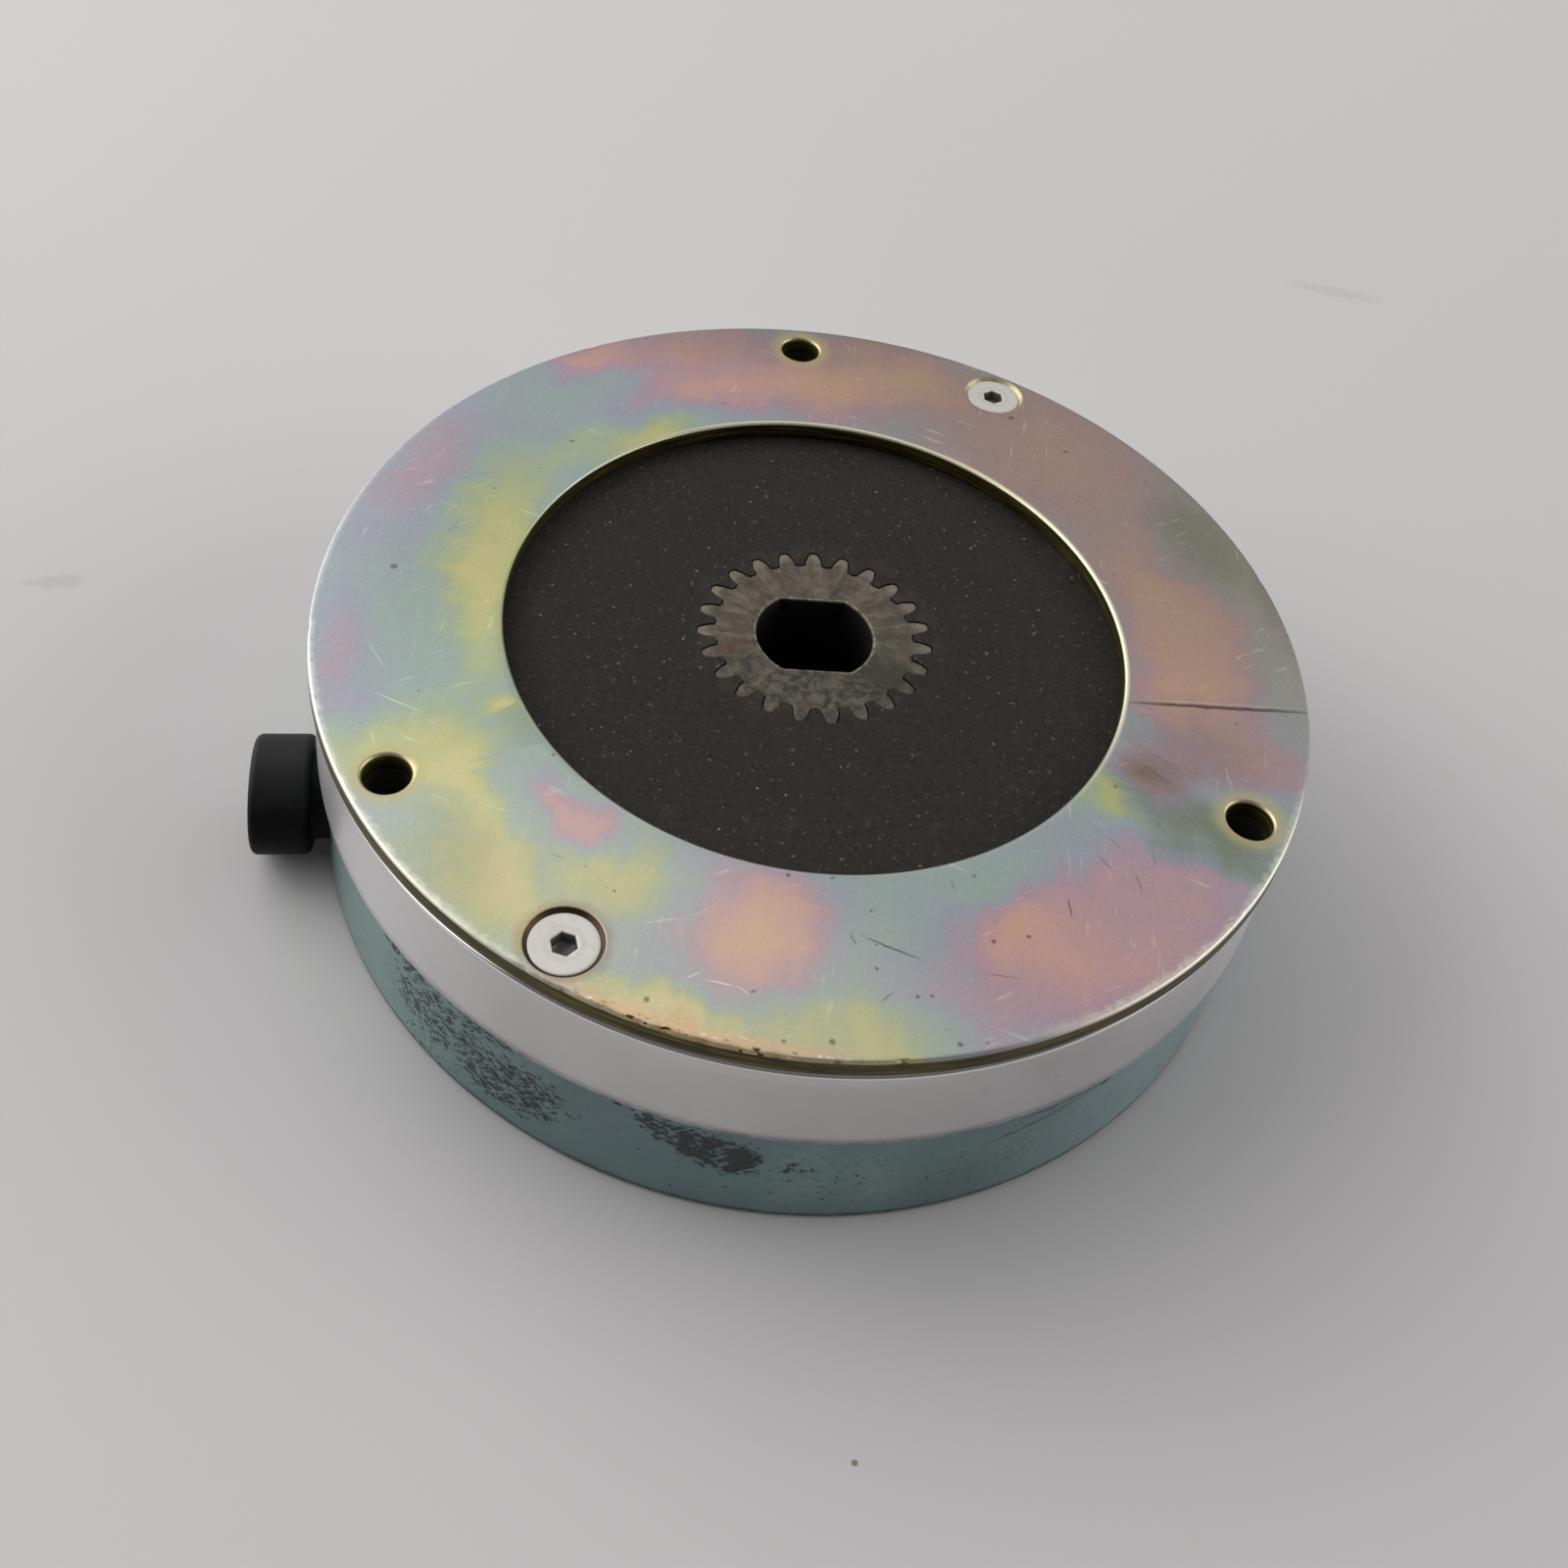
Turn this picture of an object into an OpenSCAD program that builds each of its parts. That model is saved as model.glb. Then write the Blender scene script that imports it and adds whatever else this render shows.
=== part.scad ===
// Spring-applied electric brake, in millimetres.
// Z is the axis of rotation. The back face of the magnet body is at z = 0 and the end plate is on top.
// The brake is shown without power: the springs hold the armature against the friction disc.

/* [End plate] */
// Outer diameter of the end plate, the widest round of the brake
plate_d = 118; // [98:1:142]
// Thickness of the end plate
plate_t = 2.5; // [2.3:0.1:4]
// Width of the flat ring between the plate's edge and its window
plate_rim_w = 21.9; // [18:0.1:27]
// Radius of the plate's rounded edges
plate_edge_r = 0.4; // [0.2:0.1:0.8]
// Land between the countersinks and the plate's edge
plate_land = 0.57; // [0.5:0.01:1]

/* [Mounting holes] */
// Diameter of the three mounting holes through the whole brake
mount_hole_d = 5.3; // [4.3:0.1:6.4]
// Width of the broken edge at the top of each mounting hole
hole_edge = 0.3; // [0.2:0.05:0.5]
// Wall of the spacer sleeves round the mounting holes
sleeve_wall = 0.85; // [0.7:0.05:1.1]

/* [Plate screws] */
// Thread diameter of the countersunk screws
screw_d = 4; // [3.3:0.1:4.8]
// Diameter of the flat top of the screw head
head_d = 7.3; // [6.6:0.1:7.6]
// Depth of the head's top below the plate
head_recess = 0.35; // [0.2:0.05:0.45]
// Length of the screw from the top of its head
screw_len = 22; // [17:0.5:26]
// Width across the flats of the hex socket
hex_af = 2.5; // [2:0.1:3]
// Depth of the hex socket
hex_depth = 1.6; // [1:0.1:2]

/* [Magnet body] */
// How far the body's side stands inside the plate's edge
body_step = 1.2; // [1:0.1:1.4]
// Height of the body up to its pole faces
body_h = 19.2; // [16:0.1:24]
// Thickness of the body behind the coil
back_wall = 5; // [4:0.1:6]
// Diameter of the body's centre bore
centre_bore_d = 24; // [19:0.5:29]
// Wall between the coil pocket and the sleeves
outer_pole_wall = 2.75; // [2:0.05:5]
// Wall between the springs and the coil pocket
inner_pole_wall = 2.1; // [1.7:0.1:4]
// Chamfer round the back edge
body_chamfer = 0.5; // [0.3:0.1:1]

/* [Cover band] */
// Wall of the thin cover band
band_wall = 0.7; // [0.5:0.1:0.9]
// Radius of the band's rounded top edge
band_edge_r = 0.5; // [0.2:0.1:0.5]
// Length of the band that overlaps the body
band_lap = 3.1; // [2:0.1:3.8]
// Gap between the band's top edge and the plate
band_gap = 0.8; // [0.3:0.1:1.2]

/* [Armature] */
// Thickness of the armature plate
armature_t = 4.5; // [3:0.1:6]
// Air gap that the armature crosses when the coil is on
air_gap = 0.3; // [0.2:0.05:0.6]
// How far the armature reaches past the bolt circle
armature_lip = 1.5; // [0.5:0.1:2]

/* [Rotor] */
// Thickness of the friction disc
disc_t = 5; // [4:0.1:7]
// Gap between the friction disc and the sleeves
disc_gap = 1.25; // [0.8:0.05:3]
// Number of teeth on the hub
hub_teeth = 23; // [19:1:28]
// Module of the hub's teeth
tooth_module = 1.14; // [0.95:0.01:1.37]
// Height of the hub's foot above the pole faces
hub_lift = 0.9; // [0.5:0.1:2]
// Depth of the hub's top below the friction disc's face
hub_set = 0.1; // [0:0.05:1]
// Diameter of the double-D bore
shaft_d = 14.2; // [11.8:0.1:17]
// Width of the double-D bore across its flats
shaft_flats = 11.8; // [9.8:0.1:14]

/* [Coil] */
// Wall of the coil bobbin
bobbin_wall = 1; // [0.8:0.1:1.5]
// Thickness of the resin over the coil
potting_t = 2.2; // [1.5:0.1:3]
// Depth of the resin below the pole faces
potting_set = 0.3; // [0.1:0.1:1]

/* [Springs] */
// Outside diameter of a spring
spring_d = 4.8; // [4:0.1:5.8]
// Diameter of the spring wire
spring_wire_d = 0.9; // [0.7:0.1:1]
// Number of turns of a spring
spring_turns = 7; // [5:1:8]
// Depth of the spring pockets
pocket_depth = 10; // [8:0.5:12]
// Wall between the spring pockets and the bores inside them
spring_wall = 2; // [1.6:0.1:3]

/* [Connector] */
// Direction in which the connector points, round the axis
connector_angle = 184; // [176:1:190]
// Distance of the connector's own axis to the side of the brake's axis
connector_offset = 6.7; // [0:0.1:9]
// Height of the connector's collar above the back face
connector_lift = 0.5; // [0.2:0.1:1]
// Diameter of the connector's collar
collar_d = 14.2; // [12.2:0.1:17]
// Length of the collar
collar_h = 6.9; // [5.8:0.1:10]
// Radius of the collar's rounded edges
collar_edge_r = 0.8; // [0.3:0.1:1]
// Diameter of the neck behind the collar
neck_d = 10.6; // [9:0.1:11.5]
// Length of neck that shows between the body and the collar
neck_show = 1.4; // [1:0.1:4]
// Depth of the neck in the body
neck_in = 4; // [3.4:0.1:4.8]
// Wall of the collar round its socket
socket_wall = 1.9; // [1.5:0.1:2.3]
// Depth of the socket
socket_depth = 5.2; // [4:0.1:5.4]
// Diameter of a contact pin
pin_d = 1.5; // [1:0.1:2]
// Distance between the two contact pins
pin_pitch = 3.8; // [3.2:0.1:4.6]
// Depth of the pins' tips inside the mouth
pin_set = 1.2; // [0.8:0.1:2]

/* [Hidden] */
$fn = 96;
// Sides of small round sections
small_fn = 32;
// Overlap that cuts need to pass a face
cut = 1;
// Clearance of pieces that are fitted into each other
fit = 0.1;
// Clearance of pieces that slide past each other
play = 0.3;
// Clearance of a pin or screw in its own hole
snug = 0.03;

plate_r = plate_d / 2;
window_r = plate_r - plate_rim_w;
body_r = plate_r - body_step;
centre_bore_r = centre_bore_d / 2;

// Screw heads: a short rim over a 90 degree cone down to the thread
head_rim_h = 0.15;
head_cone_h = (head_d - screw_d) / 2;
countersink_r = head_d / 2 + snug + head_recess + head_rim_h;
screw_tip_chamfer = 0.3;
hole_past_screw = 1.5;

band_in_r = body_r + fit;
band_out_r = band_in_r + band_wall;

// The bolt circle leaves room for the countersinks and keeps the sleeves inside the band
sleeve_r = mount_hole_d / 2 + sleeve_wall;
bolt_r = min(plate_r - plate_land - countersink_r, band_in_r - fit - sleeve_r);

mount_count = 3;
mount_first = 90;
mount_angles = [for (i = [0:mount_count - 1]) mount_first + i * 360 / mount_count];
screw_count = 2;
screw_first = 60;
screw_angles = [for (i = [0:screw_count - 1]) screw_first + i * 360 / screw_count];
screw_turns = [0, 12.7];

armature_z = body_h + air_gap;
disc_z = armature_z + armature_t;
plate_z = disc_z + disc_t;
top_z = plate_z + plate_t;
screw_tip_z = top_z - head_recess - screw_len;
head_z = top_z - head_recess;
cone_z = head_z - head_rim_h - head_cone_h;

// Hub teeth are involutes with a 20 degree pressure angle
pressure_angle = 20;
tooth_foot = 1.05;
tooth_phase = 9.8;
flank_steps = 4;
valley_h = 0.2;
tip_round = 0.45;
tip_steps = 4;
hub_pitch_r = tooth_module * hub_teeth / 2;
hub_tip_r = hub_pitch_r + tooth_module;
hub_root_r = hub_pitch_r - tooth_foot * tooth_module;
hub_base_r = hub_pitch_r * cos(pressure_angle);
hub_z = body_h + hub_lift;
hub_h = plate_z - hub_set - hub_z;

hub_way = 1.75;
armature_hole_r = hub_tip_r + hub_way;
armature_r = bolt_r + armature_lip;
disc_r = bolt_r - sleeve_r - disc_gap;

spring_count = 6;
spring_first = 15;
pocket_r = spring_d / 2 + play;
spring_circle_r = max(armature_hole_r, centre_bore_r) + spring_wall + pocket_r;
pocket_z = body_h - pocket_depth;
spring_sides = 6;
spring_steps = 14;
dead_turns = 1;

coil_in_r = spring_circle_r + pocket_r + inner_pole_wall;
coil_out_r = bolt_r - sleeve_r - outer_pole_wall;
potting_top_z = body_h - potting_set;
bobbin_top_z = potting_top_z - potting_t;
winding_z = back_wall + bobbin_wall + fit;
winding_h = bobbin_top_z - bobbin_wall - fit - winding_z;
winding_in_r = coil_in_r + fit + bobbin_wall;
winding_out_r = coil_out_r - fit - bobbin_wall;

// Distances along the connector's axis, from the foot of the perpendicular to the brake's axis
pin_count = 2;
neck_r = neck_d / 2;
collar_r = collar_d / 2;
connector_z = collar_r + connector_lift;
side_s = sqrt(body_r * body_r - connector_offset * connector_offset);
seat_s = side_s - neck_in;
collar_s = side_s + neck_show;
mouth_s = collar_s + collar_h;
socket_s = mouth_s - socket_depth;
pin_tail = 1;
tail_s = seat_s - pin_tail;
pin_tip_s = mouth_s - pin_set;
socket_r = collar_r - socket_wall;
lead_way = 0.9;
lead_hole_r = pin_pitch / 2 + lead_way;
lead_hole_side = connector_offset + lead_hole_r;
lead_hole_s = sqrt(coil_out_r * coil_out_r - lead_hole_side * lead_hole_side) - cut;
lead_r = 0.45;
seal_r = 0.5;
seal_s = seat_s + neck_in / 2;
rib_w = 1.4;
rib_h = 0.8;

// The band laps the body and stays clear above the connector's collar
band_z = max(body_h - band_lap, connector_z + collar_r + play);
band_top_z = plate_z - band_gap;

// Puts its children on a circle about the axis
module on_circle(r, angle, z = 0) {
    rotate([0, 0, angle]) translate([r, 0, z]) children();
}

// A plain tube that stands on z
module tube(r_out, r_in, z, h) {
    translate([0, 0, z]) difference() {
        cylinder(r = r_out, h = h);
        translate([0, 0, -cut]) cylinder(r = r_in, h = h + 2 * cut);
    }
}

// The connector's own frame: its children's Z runs outwards along the connector's axis
module connector_frame(side = 0) {
    rotate([0, 0, connector_angle]) translate([0, connector_offset + side, connector_z])
        rotate([0, 90, 0]) children();
}

// The way of the leads from the coil's pocket to the seat of the connector
module lead_hole() {
    connector_frame() translate([0, 0, lead_hole_s]) cylinder(r = lead_hole_r, h = seat_s + cut - lead_hole_s);
}

// Distance of contact i to the side of the connector's axis
function contact_side(i) = (i - (pin_count + 1) / 2) * pin_pitch;

// Points of a quarter round of radius r about c, from angle a to a + 90
function quarter(c, r, a, steps = 6) = [for (i = [0:steps])
    let (turn = a + i * 90 / steps) c + r * [cos(turn), sin(turn)]];

// Section of a flat ring with four rounded corners
function ring_section(r_in, r_out, z_low, z_high, e) = concat(
    quarter([r_out - e, z_low + e], e, -90),
    quarter([r_out - e, z_high - e], e, 0),
    quarter([r_in + e, z_high - e], e, 90),
    quarter([r_in + e, z_low + e], e, 180)
);

// Involute angle in degrees at radius r, zero on the base circle
function involute_deg(r) =
    let (a = acos(min(1, hub_base_r / r))) tan(a) * 180 / PI - a;

// Half the angle that a tooth covers at radius r
function half_tooth(r) =
    90 / hub_teeth + involute_deg(hub_pitch_r) - involute_deg(max(r, hub_base_r));

// Flanks run from the top of the valley to the foot of the rounded tip
flank_low_r = hub_root_r + valley_h;
flank_high_r = hub_tip_r - tip_round;

// Point of a tooth at radius r and angle a, moved outwards by grow
function tooth_point(r, a, grow) = (r + grow) * [cos(a), sin(a)];

// Point on one flank: step 0 is its foot, side is -1 or 1
function flank_point(centre, side, step, grow) =
    let (r = flank_low_r + step * (flank_high_r - flank_low_r) / flank_steps)
    tooth_point(r, centre + side * (half_tooth(r) + grow / hub_pitch_r * 180 / PI), grow);

// Point on the rounded tip: step 0 ends one flank and the last step starts the other
function tip_point(centre, step, grow) =
    let (a = step * 180 / tip_steps, half = half_tooth(flank_high_r) + grow / hub_pitch_r * 180 / PI)
    tooth_point(flank_high_r + tip_round * sin(a), centre - half * cos(a), grow);

// One valley and the tooth after it
function tooth_outline(centre, grow) = concat(
    [tooth_point(hub_root_r, centre - 180 / hub_teeth, grow)],
    [for (i = [0:flank_steps - 1]) flank_point(centre, -1, i, grow)],
    [for (i = [0:tip_steps]) tip_point(centre, i, grow)],
    [for (i = [flank_steps - 1:-1:0]) flank_point(centre, 1, i, grow)]
);

module toothed_shape(grow = 0) {
    polygon([for (k = [0:hub_teeth - 1]) each tooth_outline(tooth_phase + k * 360 / hub_teeth, grow)]);
}

// Steel pot with a ring pocket for the coil and blind pockets for the springs
module magnet_body() {
    color("cadetblue") difference() {
        rotate_extrude() polygon([
            [centre_bore_r, 0],
            [body_r - body_chamfer, 0],
            [body_r, body_chamfer],
            [body_r, body_h],
            [coil_out_r, body_h],
            [coil_out_r, back_wall],
            [coil_in_r, back_wall],
            [coil_in_r, body_h],
            [centre_bore_r, body_h]
        ]);
        for (i = [0:spring_count - 1])
            on_circle(spring_circle_r, spring_first + i * 360 / spring_count, pocket_z)
                cylinder(r = pocket_r, h = pocket_depth + cut);
        for (a = mount_angles)
            on_circle(bolt_r, a, -cut) cylinder(d = mount_hole_d, h = body_h + 2 * cut);
        for (a = screw_angles)
            on_circle(bolt_r, a, screw_tip_z - hole_past_screw)
                cylinder(r = screw_d / 2 + snug, h = body_h);
        connector_frame() translate([0, 0, seat_s]) cylinder(r = neck_r + snug, h = neck_in + collar_h);
        lead_hole();
    }
}

// Spool of the coil, open outwards, with a notch for the two leads
module coil_bobbin() {
    color("ivory") difference() {
        rotate_extrude() polygon([
            [coil_in_r + fit, back_wall],
            [coil_out_r - fit, back_wall],
            [coil_out_r - fit, back_wall + bobbin_wall],
            [winding_in_r, back_wall + bobbin_wall],
            [winding_in_r, bobbin_top_z - bobbin_wall],
            [coil_out_r - fit, bobbin_top_z - bobbin_wall],
            [coil_out_r - fit, bobbin_top_z],
            [coil_in_r + fit, bobbin_top_z]
        ]);
        lead_hole();
    }
}

// Copper winding on the spool
module coil_winding() {
    color("peru") tube(winding_out_r, winding_in_r + fit, winding_z, winding_h);
}

// Resin over the coil
module coil_potting() {
    color("dimgray") tube(coil_out_r - fit, coil_in_r + fit, bobbin_top_z, potting_t);
}

// Steel ring that the magnet pulls, with a notch round each sleeve
module armature_plate() {
    color("lightslategray") difference() {
        tube(armature_r, armature_hole_r, armature_z, armature_t);
        for (a = concat(mount_angles, screw_angles))
            on_circle(bolt_r, a, armature_z - cut) cylinder(r = sleeve_r + play, h = armature_t + 2 * cut);
    }
}

// Moulded friction disc that slides on the hub's teeth
module friction_disc() {
    color("darkslategray") translate([0, 0, disc_z]) difference() {
        cylinder(r = disc_r, h = disc_t);
        translate([0, 0, -cut]) linear_extrude(disc_t + 2 * cut) toothed_shape(fit);
    }
}

// Toothed hub with a double-D bore
module hub() {
    color("rosybrown") translate([0, 0, hub_z]) difference() {
        linear_extrude(hub_h) toothed_shape();
        translate([0, 0, -cut]) intersection() {
            cylinder(d = shaft_d, h = hub_h + 2 * cut);
            translate([-shaft_d, -shaft_flats / 2, 0]) cube([2 * shaft_d, shaft_flats, hub_h + 2 * cut]);
        }
    }
}

// The seat of a screw's head, which widens up to the plate's face and a little past it
module countersink(angle) {
    on_circle(bolt_r, angle, cone_z)
        cylinder(r1 = screw_d / 2 + snug, r2 = countersink_r + cut, h = top_z + cut - cone_z);
}

// Flat ring that the friction disc is pressed against
module end_plate() {
    color("darkkhaki") difference() {
        rotate_extrude() polygon(ring_section(window_r, plate_r, plate_z, top_z, plate_edge_r));
        for (a = mount_angles) on_circle(bolt_r, a) {
            translate([0, 0, plate_z - cut]) cylinder(d = mount_hole_d, h = plate_t + 2 * cut);
            translate([0, 0, top_z - hole_edge])
                cylinder(r1 = mount_hole_d / 2, r2 = mount_hole_d / 2 + hole_edge + cut, h = hole_edge + cut);
        }
        for (a = screw_angles) {
            on_circle(bolt_r, a, plate_z - cut) cylinder(r = screw_d / 2 + fit, h = plate_t + 2 * cut);
            countersink(a);
        }
    }
}

// Countersunk screw with a hex socket
module plate_screw(i) {
    color("silver") on_circle(bolt_r, screw_angles[i - 1]) difference() {
        rotate_extrude() polygon([
            [0, screw_tip_z],
            [screw_d / 2 - screw_tip_chamfer, screw_tip_z],
            [screw_d / 2, screw_tip_z + screw_tip_chamfer],
            [screw_d / 2, cone_z],
            [head_d / 2, head_z - head_rim_h],
            [head_d / 2, head_z],
            [0, head_z]
        ]);
        rotate([0, 0, screw_turns[i - 1]]) translate([0, 0, head_z - hex_depth])
            cylinder(r = hex_af / 2 / cos(30), h = hex_depth + cut, $fn = 6);
    }
}

// Spacer between the pole face and the end plate
module sleeve(angle, bore_r) {
    color("gainsboro") on_circle(bolt_r, angle) tube(sleeve_r, bore_r, body_h, plate_z - body_h);
}

// Spacer round a plate screw, cleared where a deep head reaches it
module plate_sleeve(i) {
    difference() {
        sleeve(screw_angles[i - 1], screw_d / 2 + fit);
        countersink(screw_angles[i - 1]);
    }
}

// Thin bright band round the air gap, pressed over the body
module cover_band() {
    color("whitesmoke") rotate_extrude() polygon(concat(
        [[band_in_r, band_top_z], [band_in_r, band_z], [band_out_r, band_z]],
        quarter([band_out_r - band_edge_r, band_top_z - band_edge_r], band_edge_r, 0)
    ));
}

// Black inlet: a neck with a seal groove and a collar with an open socket and a coding rib
module connector_shell() {
    groove_r = neck_r - 2 * seal_r;
    color([0.06, 0.06, 0.07]) connector_frame() difference() {
        rotate_extrude() polygon(concat(
            [[0, seat_s], [neck_r, seat_s], [neck_r, seal_s - seal_r - fit],
             [groove_r, seal_s - seal_r - fit], [groove_r, seal_s + seal_r + fit],
             [neck_r, seal_s + seal_r + fit], [neck_r, collar_s]],
            quarter([collar_r - collar_edge_r, collar_s + collar_edge_r], collar_edge_r, -90),
            quarter([collar_r - collar_edge_r, mouth_s - collar_edge_r], collar_edge_r, 0),
            [[0, mouth_s]]
        ));
        difference() {
            translate([0, 0, socket_s]) cylinder(r = socket_r, h = socket_depth + cut);
            translate([-socket_r - cut, -rib_w / 2, socket_s - cut])
                cube([rib_h + cut, rib_w, socket_depth + cut - rib_h]);
        }
        for (i = [1:pin_count]) translate([0, contact_side(i), seat_s - cut])
            cylinder(r = pin_d / 2 + snug, h = socket_s - seat_s + 2 * cut);
    }
}

// O-ring in the groove of the neck
module connector_seal() {
    color("black") connector_frame() translate([0, 0, seal_s])
        rotate_extrude() translate([neck_r - seal_r, 0]) circle(r = seal_r - snug, $fn = small_fn);
}

// Contact pin with a rounded nose
module contact_pin(i) {
    color("gold") connector_frame(contact_side(i)) {
        translate([0, 0, tail_s]) cylinder(d = pin_d, h = pin_tip_s - tail_s);
        translate([0, 0, pin_tip_s]) sphere(d = pin_d);
    }
}

// Lead from the winding to the tail of a contact pin
module lead_wire(i) {
    side = connector_offset + contact_side(i) - lead_r;
    start_s = sqrt(winding_out_r * winding_out_r - side * side) + fit;
    color("firebrick") connector_frame(contact_side(i))
        translate([0, 0, start_s]) cylinder(r = lead_r, h = tail_s - start_s, $fn = small_fn);
}

// Height of the wire's centre line after t turns: closed turns at both ends, open turns between
function spring_rise(t, length) =
    let (open_pitch = (length - 2 * dead_turns * spring_wire_d) / (spring_turns - 2 * dead_turns))
    t < dead_turns ? t * spring_wire_d
    : t > spring_turns - dead_turns ? length - (spring_turns - t) * spring_wire_d
    : dead_turns * spring_wire_d + (t - dead_turns) * open_pitch;

// Compression spring between the floor of its pocket and the armature
module torque_spring(i) {
    end_gap = fit / 2;
    wire_r = spring_wire_d / 2;
    coil_r = spring_d / 2 - wire_r;
    length = armature_z - pocket_z - spring_wire_d - 2 * end_gap;
    last = round(spring_turns * spring_steps);
    points = [for (k = [0:last]) for (j = [0:spring_sides - 1])
        let (turn = k * 360 / spring_steps, side = j * 360 / spring_sides, r = coil_r + wire_r * cos(side))
        [r * cos(turn), r * sin(turn), spring_rise(k / spring_steps, length) + wire_r * sin(side)]];
    walls = [for (k = [0:last - 1]) for (j = [0:spring_sides - 1])
        let (a = k * spring_sides + j, b = k * spring_sides + (j + 1) % spring_sides)
        [a, a + spring_sides, b + spring_sides, b]];
    ends = [[for (j = [0:spring_sides - 1]) j],
            [for (j = [spring_sides - 1:-1:0]) last * spring_sides + j]];
    color("slategray") on_circle(spring_circle_r, spring_first + (i - 1) * 360 / spring_count,
        pocket_z + wire_r + end_gap) polyhedron(points, concat(walls, ends));
}

magnet_body();
coil_bobbin();
coil_winding();
coil_potting();
armature_plate();
friction_disc();
hub();
end_plate();
cover_band();
connector_shell();
connector_seal();
for (i = [1:spring_count])
    torque_spring(i);
for (i = [1:screw_count])
    plate_screw(i);
for (i = [1:screw_count])
    plate_sleeve(i);
for (i = [1:mount_count])
    sleeve(mount_angles[i - 1], mount_hole_d / 2);
for (i = [1:pin_count])
    contact_pin(i);
for (i = [1:pin_count])
    lead_wire(i);
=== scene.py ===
import math
from functools import reduce

import bmesh
import bpy
import numpy as np
from mathutils import Matrix, Vector


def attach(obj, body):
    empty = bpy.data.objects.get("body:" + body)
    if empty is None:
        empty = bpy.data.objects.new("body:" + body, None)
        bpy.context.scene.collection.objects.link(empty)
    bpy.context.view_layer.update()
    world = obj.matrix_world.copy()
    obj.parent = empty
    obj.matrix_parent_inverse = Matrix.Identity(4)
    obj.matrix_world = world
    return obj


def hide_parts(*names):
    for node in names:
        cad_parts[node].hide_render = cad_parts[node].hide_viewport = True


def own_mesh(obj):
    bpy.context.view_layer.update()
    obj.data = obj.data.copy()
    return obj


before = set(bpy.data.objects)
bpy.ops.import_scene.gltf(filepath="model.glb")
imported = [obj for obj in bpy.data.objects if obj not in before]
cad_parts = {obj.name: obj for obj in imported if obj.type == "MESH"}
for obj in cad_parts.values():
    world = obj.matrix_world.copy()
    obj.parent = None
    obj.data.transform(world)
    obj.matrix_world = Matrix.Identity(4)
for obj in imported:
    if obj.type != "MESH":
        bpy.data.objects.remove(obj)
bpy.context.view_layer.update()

MM = 0.001

# Sizes of the brake in millimetres, as the CAD nodes have them
PLATE_TOP = 31.5
PLATE_UNDER = 29.0
PLATE_R = 59.0
BOLT_R = 54.25
HOLE_ANGLES = (90, 210, 330)
SCREW_ANGLES = (60, 240)
PLATE_EDGE_R = 0.4
WINDOW_R = 37.1
MOUNT_HOLE_R = 2.65
HOLE_CHAMFER = 0.3
COUNTERSINK_R = 4.18
SCREW_HOLE_R = 2.03
HEAD_TOP = 31.15
HEAD_R = 3.65
SCREW_R = 2.0
SCREW_END = 9.15
SOCKET_R = 1.25
SOCKET_TURNS = (0.0, 12.7)
THREAD_PITCH = 0.7
BODY_R = 57.8
BODY_BORE_R = 12.0
HUB_TOP = 28.9
HUB_FOOT = 20.1
HUB_TEETH = 23
TOOTH_MODULE = 1.14
TOOTH_PHASE = 9.8
SHAFT_R = 7.1
SHAFT_FLAT = 5.9
BAND_INNER_R = 57.9
BAND_OUTER_R = 58.6
BAND_FOOT = 16.1
BAND_TOP = 28.2
BAND_ROLL_R = 0.66
SPRING_FOOT = 9.2
SPRING_TOP = 19.5
SPRING_GAP = 0.05
SPRING_R = 1.95
SPRING_WIRE_R = 0.45
SPRING_TURNS = 7
SPRING_CIRCLE_R = 20.7
SPRING_FIRST = 15
SPRING_COUNT = 6


def linear(r, g, b):
    """Linear colour of a display colour given in steps of 0 to 255."""
    steps = np.array([r, g, b]) / 255
    values = np.where(steps <= 0.04045, steps / 12.92, ((steps + 0.055) / 1.055) ** 2.4)
    return tuple(float(v) for v in values) + (1.0,)


def polar(angle, radius, z=0.0):
    """Point at an angle in degrees and a radius about the brake's axis."""
    turn = math.radians(angle)
    return (radius * math.cos(turn), radius * math.sin(turn), z)


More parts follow.
